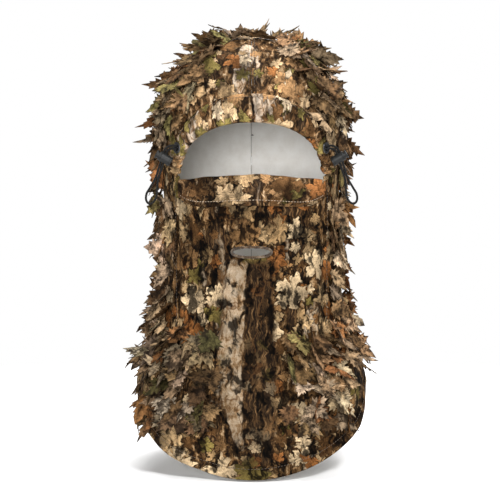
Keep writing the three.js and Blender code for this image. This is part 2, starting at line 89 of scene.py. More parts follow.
BAND_DEPTH, BAND_PEAK = 29.0, 6.0
SLOT = dict(z=213.5, half=18.5, tall=9.0)
CORD = 2.2
EYELET_AT = math.radians(66)


def place(points):
    """Millimetres over the hem to the frame's metres."""
    points = np.asarray(points, dtype=float).reshape(-1, 3)
    return (points - (0, 0, SEAT)) / 1000


def section(z, column):
    """A column of SECTIONS at heights z: a cubic through the rows, level at the top."""
    z = np.asarray(z, dtype=float)
    rows = SECTIONS[:, 0]
    i = np.clip(np.searchsorted(rows, z, side="left") - 1, 0, len(rows) - 2)
    values = SECTIONS[:, column]
    slopes = np.empty(len(rows))
    slopes[0] = (values[1] - values[0]) / (rows[1] - rows[0])
    slopes[1:-1] = (values[2:] - values[:-2]) / (rows[2:] - rows[:-2])
    slopes[-1] = 0
    span = rows[i + 1] - rows[i]
    t = (z - rows[i]) / span
    t2, t3 = t * t, t * t * t
    return (
        (2 * t3 - 3 * t2 + 1) * values[i] + (t3 - 2 * t2 + t) * span * slopes[i]
        + (3 * t2 - 2 * t3) * values[i + 1] + (t3 - t2) * span * slopes[i + 1]
    )


def surface(azimuth, along, lift=0.0):
    """Points of the cloth's outer face at azimuths from the front and heights along the cloth."""
    azimuth, along = np.broadcast_arrays(np.asarray(azimuth, float), np.asarray(along, float))
    s, c = np.sin(azimuth), np.cos(azimuth)
    low = np.minimum(along, WIDEST)
    lean = np.clip((along - WIDEST) / DOME_ARC, 0, 1) * (math.pi / 2)
    around = np.maximum(np.cos(lean), 0) ** DOME_POWER
    z = low + (DOME_RISE + lift) * np.sin(lean) ** DOME_POWER
    x = (section(low, 1) + lift) * around * s
    depth = (np.where(c > 0, section(low, 2), section(low, 3)) + lift) * around
    reach = np.where(z > NOSE["z"], NOSE["above"], NOSE["below"])
    bump = NOSE["out"] * np.exp(-((x / NOSE["wide"]) ** 2) - ((z - NOSE["z"]) / reach) ** 2)
    y = -depth * c - np.where(c > 0, bump * c, 0)
    return np.stack([x, y, z], axis=-1)


def outward(azimuth, along):
    """Unit normals of that face."""
    sideways = surface(azimuth + 0.01, along) - surface(azimuth - 0.01, along)
    upwards = surface(azimuth, along + 1) - surface(azimuth, along - 1)
    n = np.cross(sideways, upwards)
    return n / np.maximum(np.linalg.norm(n, axis=-1, keepdims=True), 1e-9)


def hem_height(azimuth):
    side = np.abs(np.sin(azimuth))
    back = np.where(np.cos(azimuth) < 0, HEM_BACK * np.cos(azimuth) ** 2, 0)
    return (HEM_RISE - HEM_CORNER) * side**2 + HEM_CORNER * side**10 + back


def azimuth_over(x, z):
    return np.arcsin(np.clip(x / section(np.minimum(z, WIDEST), 1), -1, 1))


def band_top(x):
    return OPENING["base"] + BAND_PEAK * np.maximum(1 - (x / OPENING["half"]) ** 2, 0) ** 1.5 - 0.15


def band_bottom(x):
    return band_top(x) - BAND_DEPTH * (1 - 0.45 * (x / OPENING["half"]) ** 6)


def casing_half():
    """Half width of the casing's outer edge at the corners: it runs round the temple."""
    width, depth = section(OPENING["base"], 1), section(OPENING["base"], 2)
    inner = azimuth_over(OPENING["half"], OPENING["base"])
    per_radian = np.hypot(width * np.cos(inner), depth * np.sin(inner))
    return float(width * np.sin(inner + CASING_SIDE / per_radian))


CASING_HALF = casing_half()


def arch(turn, share):
    """The opening's outline from the front, grown by a share of the casing: x and z."""
    half = OPENING["half"] + (CASING_HALF - OPENING["half"]) * share
    rise = OPENING["rise"] + CASING_TOP * share
    power = 2 / OPENING["power"]
    x = half * np.sign(turn) * np.abs(np.sin(turn)) ** power
    return x, OPENING["base"] + rise * np.maximum(np.cos(turn), 0) ** power


def on_cloth(x, z):
    """Azimuth and height along the cloth of the front point seen at x and z."""
    lean = np.arcsin(np.clip((z - WIDEST) / DOME_RISE, 0, 1) ** (1 / DOME_POWER))
    along = np.where(z > WIDEST, WIDEST + lean / (math.pi / 2) * DOME_ARC, z)
    around = np.cos(lean) ** DOME_POWER
    return np.arcsin(np.clip(x / (section(np.minimum(z, WIDEST), 1) * around), -1, 1)), along


def casing_frame(turn):
    """Middle of the casing's section at a turn from its top, the way out, and half of its way across."""
    edges = [on_cloth(*arch(turn, share)) for share in (0, 1)]
    (inner, outer) = [surface(*edge) for edge in edges]
    out = outward(*edges[0]) + outward(*edges[1])
    across = outer - inner
    shared = np.sum(out * across, axis=-1, keepdims=True)
    out = out - across * shared / np.sum(across**2, axis=-1, keepdims=True)
    out /= np.linalg.norm(out, axis=-1, keepdims=True)
    return (inner + outer) / 2 + out * CASING_LIFT, out, across / 2


# ---------- drape: how far the cloth stands off the smooth shape, in millimetres ----------
# Soft folds on the worn cloth: azimuth in degrees and height along at both ends, width, height of the ridge.
FOLDS = [
    (50, 262, 47, 196, 5.0, 2.6), (48, 200, 40, 120, 6.0, 3.2), (41, 124, 37, 40, 8.0, 3.0),
    (44, 250, 38, 205, 4.0, -1.4), (36, 190, 31, 110, 7.0, -2.0), (30, 120, 27, 30, 9.0, 2.2),
    (20, 100, 17, 20, 9.0, -1.8), (12, 172, 9, 60, 9.0, 1.4),
    (8, 246, 34, 232, 4.0, 1.0), (10, 238, 40, 214, 4.5, 0.9), (20, 205, 44, 182, 5.0, 1.2),
    (26, 176, 52, 166, 5.0, 1.6), (58, 190, 96, 176, 7.0, 2.6), (60, 168, 110, 158, 7.0, 2.2),
    (62, 214, 104, 206, 7.0, 1.8), (70, 150, 120, 138, 8.0, 2.4), (118, 190, 178, 182, 8.0, 2.4),
    (120, 168, 178, 160, 8.0, 2.0), (62, 130, 58, 60, 9.0, 2.8), (84, 140, 82, 80, 10.0, 3.2),
    (106, 130, 108, 60, 11.0, 3.4), (134, 140, 138, 40, 11.0, 3.4), (160, 130, 163, 30, 12.0, 3.2),
    (16, 372, 30, 402, 5.0, 1.0), (33, 360, 48, 392, 5.0, 1.4), (48, 340, 66, 366, 5.5, 1.6),
    (58, 318, 84, 336, 6.0, 1.6), (62, 296, 90, 300, 6.0, 1.4),
]


def drape(azimuth, along, seed=0.0):
    """Height of the folds and of the slow wrinkles over the smooth shape."""
    azimuth, along = np.broadcast_arrays(np.asarray(azimuth, float), np.asarray(along, float))
    degrees = np.degrees(azimuth)
    total = np.zeros(azimuth.shape)
    per_degree = 1.6
    for a0, z0, a1, z1, wide, high in FOLDS:
        for side in (1, -1):
            # The two sides of the face don't crumple alike.
            shift = 0 if side > 0 else 3.1
            px, pz = (degrees * side - a0 - shift) * per_degree, along - z0 + shift
            dx, dz = (a1 - a0) * per_degree, z1 - z0
            length = math.hypot(dx, dz)
            t = (px * dx + pz * dz) / length**2
            d = (px * dz - pz * dx) / length
            taper = np.clip(1 - ((t - 0.5) / 0.62) ** 2, 0, None) ** 1.5
            total += high * (0.8 if side < 0 else 1.0) * np.exp(-((d / wide) ** 2)) * taper
    slow = np.empty(total.size)
    points = surface(azimuth, along).reshape(-1, 3)
    for i, p in enumerate(points):
        v = Vector((p[0] / 34 + seed, p[1] / 34, p[2] / 46))
        slow[i] = noise.noise(v) * 1.3 + noise.noise(v * 2.9) * 0.45
    low = np.clip((150 - along) / 150, 0, 1)
    waves = low * (1.6 * np.sin(7 * azimuth + 0.7) + 0.9 * np.sin(11 * azimuth + 2.0))
    return total + slow.reshape(total.shape) * (0.6 + 0.6 * low) + waves


def calm(azimuth, along):
    """1 on open cloth, falling to 0 where it is held flat: along the opening, the nose band and the slot."""
    p = surface(azimuth, along)
    x, z = np.abs(p[..., 0]), p[..., 2]
    front = p[..., 1] < 0
    over_band = np.where(front & (x < 72), np.clip(np.abs(z - 271) / 27, 0, 1), 1)
    slot = np.hypot(np.maximum(x - 17, 0), z - SLOT["z"])
    near_slot = np.where(front, np.clip((slot - 5) / 14, 0, 1), 1)
    return over_band * near_slot


def cloth_point(azimuth, along, lift=0.0, seed=0.0):
    azimuth, along = np.broadcast_arrays(np.asarray(azimuth, float), np.asarray(along, float))
    height = drape(azimuth, along, seed) * calm(azimuth, along) + lift
    return surface(azimuth, along) + outward(azimuth, along) * height[..., None]


def print_uv(azimuth, along):
    """Where the cloth's print lies, in metres: width from the middle seam, and height along."""
    azimuth, along = np.broadcast_arrays(np.asarray(azimuth, float), np.asarray(along, float))
    lean = np.clip((along - WIDEST) / DOME_ARC, 0, 1) * (math.pi / 2)
    radius = (0.5 * (section(np.minimum(along, WIDEST), 1) + 98)) * np.cos(lean) ** DOME_POWER
    return np.stack([azimuth * radius / 1000, along / 1000], axis=-1)


# ---------- meshes ----------
def make_object(name, vertices, faces, materials, uv=None, material_index=None, smooth=True):
    """A mesh object from arrays. uv is one pair for each vertex."""
    mesh = bpy.data.meshes.new(name)
    mesh.from_pydata([tuple(v) for v in vertices], [], [tuple(f) for f in faces])
    for material in materials:
        mesh.materials.append(material)
    if material_index is not None:
        mesh.polygons.foreach_set("material_index", np.asarray(material_index, dtype=np.int32))
    if uv is not None:
        layer = mesh.uv_layers.new(name="print")
        loops = np.empty(len(mesh.loops), dtype=np.int32)
        mesh.loops.foreach_get("vertex_index", loops)
        layer.data.foreach_set("uv", np.asarray(uv, dtype=np.float32)[loops].ravel())
    mesh.polygons.foreach_set("use_smooth", [smooth] * len(mesh.polygons))
    mesh.update()
    obj = bpy.data.objects.new(name, mesh)
    bpy.context.scene.collection.objects.link(obj)
    return obj


def grid_normals(points):
    """Unit normals of a grid of points [rows, columns, 3], out of the front of the sheet."""
    across = np.gradient(points, axis=1)
    up = np.gradient(points, axis=0)
    n = np.cross(across, up)
    return n / np.maximum(np.linalg.norm(n, axis=-1, keepdims=True), 1e-9)


def sheet_mesh(name, points, uv, materials, thick, keep=None, normals=None):
    """A closed sheet from a grid of outer points in millimetres: outer face, inner face and rim."""
    rows, columns = points.shape[:2]
    n = grid_normals(points) if normals is None else normals
    inner = points - n * thick
    outer_index = np.arange(rows * columns).reshape(rows, columns)
    quads = [
        (outer_index[r, c], outer_index[r, c + 1], outer_index[r + 1, c + 1], outer_index[r + 1, c])
        for r in range(rows - 1) for c in range(columns - 1) if keep is None or keep[r, c]
    ]
    shift = rows * columns
    faces = list(quads) + [tuple(i + shift for i in reversed(q)) for q in quads]
    index = [0] * len(quads) + [1] * len(quads)
    edges = {}
    for q in quads:
        for a, b in zip(q, q[1:] + q[:1]):
            edges[(a, b)] = edges.get((a, b), 0) + 1
    for (a, b) in edges:
        if (b, a) not in edges:
            faces.append((b, a, a + shift, b + shift))
            index.append(0)
    vertices = place(np.concatenate([points.reshape(-1, 3), inner.reshape(-1, 3)]))
    both = np.concatenate([uv.reshape(-1, 2), uv.reshape(-1, 2)])
    obj = make_object(name, vertices, faces, materials, both, index)
    tidy_mesh(obj)
    return obj


def tidy_mesh(obj, merge=1e-6):
    """Welds doubled points, drops loose ones and turns the faces out."""
    bm = bmesh.new()
    bm.from_mesh(obj.data)
    bmesh.ops.remove_doubles(bm, verts=bm.verts, dist=merge)
    bmesh.ops.delete(bm, geom=[v for v in bm.verts if not v.link_faces], context="VERTS")
    bmesh.ops.recalc_face_normals(bm, faces=bm.faces)
    bm.to_mesh(obj.data)
    bm.free()


# ---------- materials ----------
class Graph:
    """Short calls for building one material's nodes."""

    def __init__(self, name, diffuse):
        self.material = bpy.data.materials.new(name)
        self.material.use_nodes = True
        self.material.diffuse_color = (*diffuse, 1)
        self.tree = self.material.node_tree
        self.shader = self.tree.nodes["Principled BSDF"]

    def node(self, kind, inputs=(), **settings):
        made = self.tree.nodes.new(kind)
        for key, value in settings.items():
            setattr(made, key, value)
        for key, value in dict(inputs).items():
            self.feed(made.inputs[key], value)
        return made

    def feed(self, socket, value):
        if isinstance(value, bpy.types.NodeSocket):
            self.tree.links.new(value, socket)
        elif socket.type == "RGBA":
            socket.default_value = (*value, 1) if len(value) == 3 else value
        else:
            socket.default_value = value

    def math(self, operation, *values, clamp=False):
        return self.node("ShaderNodeMath", enumerate(values), operation=operation, use_clamp=clamp).outputs[0]

    def times(self, a, b, clamp=False):
        return self.math("MULTIPLY", a, b, clamp=clamp)

    def minus(self, a, b):
        return self.math("SUBTRACT", a, b)

    def plus(self, a, b):
        return self.math("ADD", a, b)

    def times_plus(self, a, b, c, clamp=False):
        return self.math("MULTIPLY_ADD", a, b, c, clamp=clamp)

    def vector(self, operation, *values):
        made = self.node("ShaderNodeVectorMath", enumerate(values), operation=operation)
        return made.outputs["Value"] if operation == "LENGTH" else made.outputs[0]

    def mix(self, factor, a, b, blend="MIX"):
        made = self.tree.nodes.new("ShaderNodeMix")
        made.data_type = "RGBA"
        made.blend_type = blend
        for index, value in ((0, factor), (6, a), (7, b)):
            self.feed(made.inputs[index], value)
        return made.outputs[2]

    def ramp(self, value, stops, steps=False):
        made = self.node("ShaderNodeValToRGB", {0: value})
        made.color_ramp.interpolation = "CONSTANT" if steps else "LINEAR"
        elements = made.color_ramp.elements
        elements.remove(elements[1])
        elements[0].position = stops[0][0]
        elements[0].color = (*stops[0][1], 1)
        for position, colour in stops[1:]:
            elements.new(position).color = (*colour, 1)
        return made.outputs[0]

    def noise(self, vector, scale=1.0, detail=3.0, rough=0.5, output=0):
        inputs = {"Vector": vector, "Scale": scale, "Detail": detail, "Roughness": rough}
        return self.node("ShaderNodeTexNoise", inputs).outputs[output]

    def voronoi(self, vector, feature="F1", scale=1.0, random=1.0):
        inputs = {"Vector": vector, "Scale": scale, "Randomness": random}
        return self.node("ShaderNodeTexVoronoi", inputs, voronoi_dimensions="2D", feature=feature)

    def split(self, vector):
        return self.node("ShaderNodeSeparateXYZ", {0: vector}).outputs

    def uv(self, name):
        return self.node("ShaderNodeUVMap", uv_map=name).outputs[0]

    def bump(self, height, distance, strength=1.0):
        made = self.node("ShaderNodeBump", {"Height": height, "Distance": distance, "Strength": strength})
        self.tree.links.new(made.outputs[0], self.shader.inputs["Normal"])

    def finish(self, colour, **settings):
        self.feed(self.shader.inputs["Base Color"], colour)
        for key, value in settings.items():
            self.feed(self.shader.inputs[key.replace("_", " ")], value)
        return self.material


LEAF_PRINTS = [
    (0.00, (0.42, 0.30, 0.175)), (0.17, (0.26, 0.15, 0.07)), (0.36, (0.115, 0.06, 0.025)),
    (0.52, (0.32, 0.215, 0.115)), (0.66, (0.17, 0.135, 0.045)), (0.76, (0.26, 0.11, 0.038)),
    (0.88, (0.56, 0.44, 0.30)),
]


def grey(g, level):
    return g.node("ShaderNodeCombineXYZ", {0: level, 1: level, 2: level}).outputs[0]


def leaf_print(g, p, size, offset, share):
    """One layer of printed leaves, one in each cell: its mask, its dark surround's mask, and its colour."""
    q = g.vector("MULTIPLY_ADD", p, (1 / size, 1 / size, 0), offset)
    bend = g.vector("SUBTRACT", g.noise(q, 2.9, 3.0, output=1), (0.5, 0.5, 0.5))
    q = g.vector("MULTIPLY_ADD", bend, (0.46, 0.46, 0), q)
    cell = g.voronoi(q)
    red, green, blue = g.node("ShaderNodeSeparateColor", {0: cell.outputs["Color"]}).outputs[:3]
    local = g.vector("SUBTRACT", q, cell.outputs["Position"])
    turned = g.node("ShaderNodeVectorRotate", {"Vector": local, "Angle": g.times(red, 6.283)},
                    rotation_type="Z_AXIS").outputs[0]
    x, y, _ = g.split(turned)
    radius = g.vector("LENGTH", local)
    angle = g.math("ARCTAN2", y, x)
    lobes = g.math("POWER", g.math("ABSOLUTE", g.math("COSINE", g.times(angle, 2.5))), 0.85)
    teeth = g.times(g.math("COSINE", g.times(angle, 15)), 0.05)
    edge = g.plus(g.times_plus(lobes, 0.33, 0.19), teeth)
    edge = g.times(edge, g.times_plus(blue, 0.55, 0.75))
    depth = g.minus(edge, radius)
    shown = g.math("LESS_THAN", green, share)
    mask = g.times(g.times(depth, 26, clamp=True), shown)
    rim = g.times(g.times_plus(depth, 7, 1.0, clamp=True), shown)
    vein = g.math("ABSOLUTE", g.math("SINE", g.times(angle, 2.5)))
    vein = g.times(g.times(vein, radius), 34, clamp=True)
    patches = g.times_plus(g.noise(q, 6.0, 5.0, 0.75), 3.1, -0.72)
    lit = g.times_plus(g.times(x, 1.0), 1.1, 1.0)
    patches = g.math("MINIMUM", g.math("MAXIMUM", patches, 0.1), 1.3)
    shade = g.times(patches, g.times_plus(vein, 0.5, 0.5))
    shade = g.times(shade, lit)
    colour = g.ramp(g.math("FRACT", g.times(green, 17.3)), LEAF_PRINTS, steps=True)
    return mask, rim, g.vector("MULTIPLY", colour, grey(g, shade))


def along_arc(g, t, low, middle, high):
    """A value that runs from low through middle to high as t goes from 0 to 1."""
    bend = g.times_plus(t, 2 * low + 2 * high - 4 * middle, 4 * middle - 3 * low - high)
    return g.times_plus(t, bend, low)


# Trunks of the print on the face cover: tone, lowest and highest, then the middle and the half width at the
# bottom, half way up and at the top, in millimetres.
TRUNKS = [
    ("dark", 110, 262, (40, 47, 50), (4, 8, 5)),
    ("dark", 14, 207, (9, 8, 9), (8, 13, 10)),
    ("pale", 27, 207, (-9, -20, -12), (3, 12, 9)),
    ("pale", 66, 166, (74, 62, 71), (3, 12, 3)),
    ("pale", 250, 282, (-30, -24, -18), (8, 12, 9)),
    ("dark", 246, 284, (28, 22, 24), (20, 18, 14)),
    ("dark", 366, 440, (-44, -38, -30), (8, 7, 5)),
    ("pale", 360, 430, (-14, -8, -4), (4, 10, 5)),
]


# Layers of printed leaves: size in millimetres, offset of the cells, and the share of cells with a leaf.
LEAF_LAYERS = ((13, (3.1, 7.7, 0), 0.50), (21, (8.4, 2.2, 0), 0.52), (32, (5.3, 4.9, 0), 0.42))


def bend_of(g, p):
    return g.vector("SUBTRACT", g.noise(p, 0.03, 3.0, 0.6, output=1), (0.5, 0.5, 0.5))


def add_trunks(g, x, y, wander, colour, pale, dark):
    """The colour with TRUNKS over it, each with a dark edge."""
    for tone, low, high, middles, halves in TRUNKS:
        t = g.math("DIVIDE", g.minus(y, low), high - low)
        away = g.minus(g.plus(x, wander), along_arc(g, t, *middles))
        inside = g.minus(along_arc(g, t, *halves), g.math("ABSOLUTE", away))
        ends = g.times(g.times(t, g.minus(1.0, t)), 60, clamp=True)
        edge = g.times(g.times_plus(inside, 0.45, 1.0, clamp=True), ends)
        colour = g.mix(g.times(edge, 0.85), colour, (0.02, 0.011, 0.006))
        mask = g.times(g.times(inside, 0.9, clamp=True), ends)
        colour = g.mix(mask, colour, pale if tone == "pale" else dark)
    return colour


def light_and_dark(g, p, y, warp, bare, colour):
    """The print with blurred areas, dark hollows and fine speckle, and painted light: lighter, with shallower
    hollows, up over the crown, the way the top of the hood takes more light.
    """
    area = g.times_plus(g.noise(p, 0.022, 3.0, 0.6), 2.6, -0.42)
    area = g.math("MINIMUM", g.math("MAXIMUM", area, 0.35), 1.35)
    area = g.math("MAXIMUM", area, g.times(bare, 0.8))
    hollow = g.noise(g.vector("MULTIPLY", warp, (0.085, 0.05, 0)), 1.0, 4.0, 0.62)
    hollow = g.times(g.minus(hollow, 0.425), 13, clamp=True)
    # Painted shade: the dark hollows are made deeper below the eye opening than on the crown.
    painted_shade_below = g.minus(1.0, g.times(g.minus(y, 285), 0.02, clamp=True))
    depth = g.times(g.times_plus(painted_shade_below, 0.33, 0.58), g.minus(1.0, hollow))
    area = g.times(area, g.minus(1.0, depth))
    speckle = g.times_plus(g.noise(p, 0.8, 4.0, 0.75), 1.5, 0.25)
    # Painted light: the print grows lighter from the eye opening up over the crown.
    light = g.times_plus(g.times(g.minus(y, 285), 0.014, clamp=True), 0.66, 0.84)
    high = g.times(g.minus(y, 285), 0.03, clamp=True)
    colour = g.vector("MULTIPLY", colour, g.mix(high, (1.0, 0.93, 0.80), (1.0, 0.97, 0.93)))
    return g.vector("MULTIPLY", colour, grey(g, g.times(g.times(speckle, light), area)))


def camo_colour(g, where):
    """The print: bark, litter, trunks and twigs with leaves lying over them."""
    p = g.vector("MULTIPLY", where, (1000, 1000, 0))
    x, y, _ = g.split(p)
    shift = g.vector("SUBTRACT", g.noise(p, 0.09, 2.0, 0.5, output=1), (0.5, 0.5, 0.5))
    warp = g.vector("MULTIPLY_ADD", shift, (11, 11, 0), p)
    litter = g.noise(g.vector("MULTIPLY", warp, (0.17, 0.075, 0)), 1.0, 7.0, 0.74)
    colour = g.ramp(litter, [
        (0.40, (0.006, 0.004, 0.0025)), (0.475, (0.028, 0.016, 0.008)), (0.53, (0.10, 0.055, 0.024)),
        (0.58, (0.25, 0.155, 0.08)), (0.635, (0.44, 0.33, 0.215)), (0.71, (0.66, 0.56, 0.43)),
    ])
    # Pale and dark trunks with streaked bark and dark sides.
    streaks = g.noise(g.vector("MULTIPLY", warp, (0.42, 0.05, 0)), 1.0, 6.0, 0.7)
    cloud = g.noise(p, 0.07, 4.0, 0.7)
    pale = g.ramp(g.times_plus(streaks, 0.45, g.times(cloud, 0.55)), [
        (0.38, (0.055, 0.03, 0.014)), (0.45, (0.19, 0.12, 0.066)), (0.50, (0.31, 0.24, 0.175)),
        (0.60, (0.40, 0.34, 0.28)),
    ])
    dark = g.ramp(streaks, [
        (0.40, (0.006, 0.004, 0.003)), (0.52, (0.03, 0.018, 0.01)), (0.60, (0.12, 0.07, 0.034)),
        (0.70, (0.30, 0.19, 0.10)),
    ])
    stand = g.noise(g.vector("MULTIPLY", warp, (0.03, 0.0036, 0)), 1.0, 2.0, 0.5)
    colour = g.mix(g.times(g.minus(stand, 0.56), 50, clamp=True), colour, dark)
    colour = g.mix(g.times(g.minus(stand, 0.615), 60, clamp=True), colour, pale)
    wander = g.times_plus(g.noise(g.vector("MULTIPLY", p, (0.02, 0.035, 0)), 1.0, 4.0, 0.65), 12, -6)
    colour = add_trunks(g, x, y, wander, colour, pale, dark)
    # Twigs.
    web_at = g.vector("MULTIPLY", p, (0.036, 0.017, 0))
    web_at = g.vector("MULTIPLY_ADD", bend_of(g, p), (1.1, 1.1, 0), web_at)
    web = g.voronoi(web_at, "DISTANCE_TO_EDGE").outputs["Distance"]
    twig = g.minus(1.0, g.times(web, 34, clamp=True))
    colour = g.mix(g.times(twig, 0.9), colour, (0.085, 0.042, 0.018))
    # Leaves, small ones first. Few lie over the trunks in the middle of the face cover.
    middle = g.times(g.minus(30, g.math("ABSOLUTE", g.plus(x, 4))), 0.16, clamp=True)
    below = g.times(g.minus(210, y), 0.12, clamp=True)
    bare = g.times(g.times(middle, below), g.times(y, 0.02, clamp=True))
    for size, offset, share in LEAF_LAYERS:
        mask, rim, tint = leaf_print(g, p, size, offset, share)
        keep = g.minus(1.0, g.times(bare, 1.0 if size > 15 else 0.8))
        colour = g.mix(g.times(g.times(rim, keep), 0.8), colour, (0.009, 0.006, 0.0035))
        colour = g.mix(g.times(mask, keep), colour, tint)
    return light_and_dark(g, p, y, warp, bare, colour)


def knit_height(g, where, fine=1100):
    """Height of a fine jersey knit: columns of small loops."""
    p = g.vector("MULTIPLY", where, (fine, fine * 0.8, 0))
    x, y, _ = g.split(p)
    column = g.math("ABSOLUTE", g.math("SINE", g.times(x, 3.1416)))
    row = g.math("SINE", g.times_plus(y, 6.283, g.times(column, 2.2)))
    return g.times_plus(row, 0.35, column)


def printed_cloth():
    g = Graph("printed_cloth", (0.25, 0.19, 0.13))
    where = g.uv("print")
    colour = camo_colour(g, where)
    fuzz = g.noise(g.vector("MULTIPLY", where, (420, 420, 0)), 1.0, 4.0, 0.7)
    height = g.plus(g.times(knit_height(g, where), 0.35), fuzz)
    g.bump(height, 0.0003, 0.7)
    return g.finish(colour, Roughness=g.times_plus(fuzz, 0.2, 0.72), Specular_IOR_Level=0.04)


def reverse_cloth():
    """The unprinted inside of the cloth."""
    g = Graph("reverse_cloth", (0.5, 0.46, 0.4))
    where = g.uv("print")
    cloudy = g.noise(g.vector("MULTIPLY", where, (70, 70, 0)), 1.0, 4.0, 0.65)
    colour = g.ramp(cloudy, [(0.3, (0.80, 0.77, 0.72)), (0.6, (0.88, 0.86, 0.82)), (0.8, (0.91, 0.90, 0.87))])
    g.bump(g.plus(knit_height(g, where), cloudy), 0.0003, 0.8)
    return g.finish(colour, Roughness=g.times_plus(cloudy, 0.15, 0.8), Sheen_Weight=0.25,
                    Sheen_Roughness=0.5, Specular_IOR_Level=0.2)


def leaf_cloth():
    """A cut leaf: its tint, printed veins and blotches, and a dark edge where the tint's alpha is 0."""
    g = Graph("leaf_cloth", (0.3, 0.2, 0.12))
    tint = g.node("ShaderNodeAttribute", attribute_name="tint")
    where = g.uv("print")
    place_at = g.node("ShaderNodeTexCoord").outputs["Object"]
    x, y, _ = g.split(where)
    off = g.vector("SUBTRACT", where, (0, 0.12, 0))
    ox, oy, _ = g.split(off)
    angle = g.math("ARCTAN2", g.math("ABSOLUTE", ox), oy)
    reach = g.vector("LENGTH", off)
    rays = g.math("ABSOLUTE", g.math("SINE", g.times(angle, 3.9)))
    vein = g.times(g.times(rays, reach), 26, clamp=True)
    side = g.math("SINE", g.times(g.minus(y, g.math("ABSOLUTE", x)), 52))
    side = g.times_plus(side, 0.5, 0.5)
    blotch = g.noise(place_at, 130, 5.0, 0.68)
    fine = g.noise(place_at, 900, 2.0, 0.6)
    level = g.math("MAXIMUM", g.times_plus(blotch, 5.4, -1.95), 0.07)
    level = g.times(level, g.times_plus(vein, 0.42, 0.62))
    level = g.times(level, g.times_plus(side, 0.16, 0.88))
    level = g.times(level, g.times_plus(fine, 0.5, 0.75))
    colour = g.vector("MULTIPLY", tint.outputs["Color"], (1.0, 0.95, 0.84))
    colour = g.vector("MULTIPLY", colour, grey(g, level))
    dark_spot = g.times(g.minus(g.noise(place_at, 62, 4.0, 0.65), 0.53), 12, clamp=True)
    colour = g.mix(g.times(dark_spot, 0.85), colour, (0.010, 0.006, 0.0035))
    rim = g.minus(1.0, g.times(tint.outputs["Alpha"], 2.4, clamp=True))
    colour = g.mix(g.times(rim, 0.75), colour, (0.022, 0.013, 0.007))
    g.bump(g.plus(g.times(vein, 0.8), fine), 0.0005, 0.8)
    return g.finish(colour, Roughness=g.times_plus(blotch, 0.2, 0.66), Specular_IOR_Level=0.06)


def cord_braid():
    g = Graph("cord_braid", (0.015, 0.015, 0.015))
    u, v, _ = g.split(g.node("ShaderNodeTexCoord").outputs["UV"])
    one = g.math("SINE", g.times_plus(u, 520, g.times(v, 25.13)))
    two = g.math("SINE", g.times_plus(u, 520, g.times(v, -25.13)))
    weave = g.math("MAXIMUM", one, two)
    g.bump(weave, 0.0003, 0.9)
    # Painted shade: the braid's colour darkens in the hollows of its weave.
    colour = g.ramp(weave, [(0.0, (0.002, 0.002, 0.002)), (0.8, (0.010, 0.0095, 0.009))])
    return g.finish(colour, Roughness=0.8, Sheen_Weight=0.05, Specular_IOR_Level=0.15)


def thread(name, low, high):
    g = Graph(name, high)
    at = g.node("ShaderNodeTexCoord").outputs["Object"]
    tone = g.noise(at, 240, 3.0, 0.6)
    colour = g.ramp(tone, [(0.35, low), (0.65, high)])
    g.bump(g.noise(at, 2600, 2.0, 0.6), 0.0002, 0.6)
    return g.finish(colour, Roughness=0.6, Sheen_Weight=0.1)


def rim_cloth():
    """The slot's dark rim, ribbed by its close overcast stitches, with painted shade in the grooves between
    the ribs.
    """
    g = Graph("rim_cloth", (0.07, 0.045, 0.03))
    x, y, _ = g.split(g.uv("print"))
    rib = g.times_plus(g.math("SINE", g.times(x, 2 * math.pi)), 0.5, 0.5)
    tone = g.noise(g.node("ShaderNodeTexCoord").outputs["Object"], 210, 4.0, 0.7)
    colour = g.ramp(tone, [
        (0.36, (0.022, 0.013, 0.007)), (0.52, (0.085, 0.05, 0.026)), (0.68, (0.30, 0.22, 0.145)),
    ])
    # Painted shade: the colour darkens in the grooves between the stitch ribs.
    colour = g.vector("MULTIPLY", colour, grey(g, g.times_plus(rib, 0.55, 0.5)))
    g.bump(rib, 0.0005, 0.9)
    return g.finish(colour, Roughness=0.8, Sheen_Weight=0.15, Specular_IOR_Level=0.2)


def moulded_plastic():
    g = Graph("black_plastic", (0.02, 0.021, 0.021))
    at = g.node("ShaderNodeTexCoord").outputs["Object"]
    grain = g.noise(at, 2200, 3.0, 0.6)
    wear = g.noise(at, 260, 4.0, 0.7)
    colour = g.ramp(wear, [(0.35, (0.006, 0.0062, 0.006)), (0.75, (0.013, 0.0135, 0.013))])
    g.bump(grain, 0.0001, 0.5)
    return g.finish(colour, Roughness=g.times_plus(wear, 0.25, 0.38), Specular_IOR_Level=0.28)


def plated_steel():
    g = Graph("dark_steel", (0.1, 0.1, 0.1))
    at = g.node("ShaderNodeTexCoord").outputs["Object"]
    wear = g.noise(at, 420, 4.0, 0.65)
    colour = g.ramp(wear, [(0.3, (0.045, 0.045, 0.047)), (0.7, (0.12, 0.12, 0.125))])
    return g.finish(colour, Metallic=0.9, Roughness=g.times_plus(wear, 0.25, 0.25))


PRINT = printed_cloth()
REVERSE = reverse_cloth()
LEAF = leaf_cloth()
BRAID = cord_braid()
THREAD = thread("dark_thread", (0.02, 0.012, 0.007), (0.08, 0.052, 0.03))
PALE_THREAD = thread("pale_thread", (0.24, 0.17, 0.11), (0.50, 0.39, 0.28))
RIM = rim_cloth()
PLASTIC = moulded_plastic()
STEEL = plated_steel()

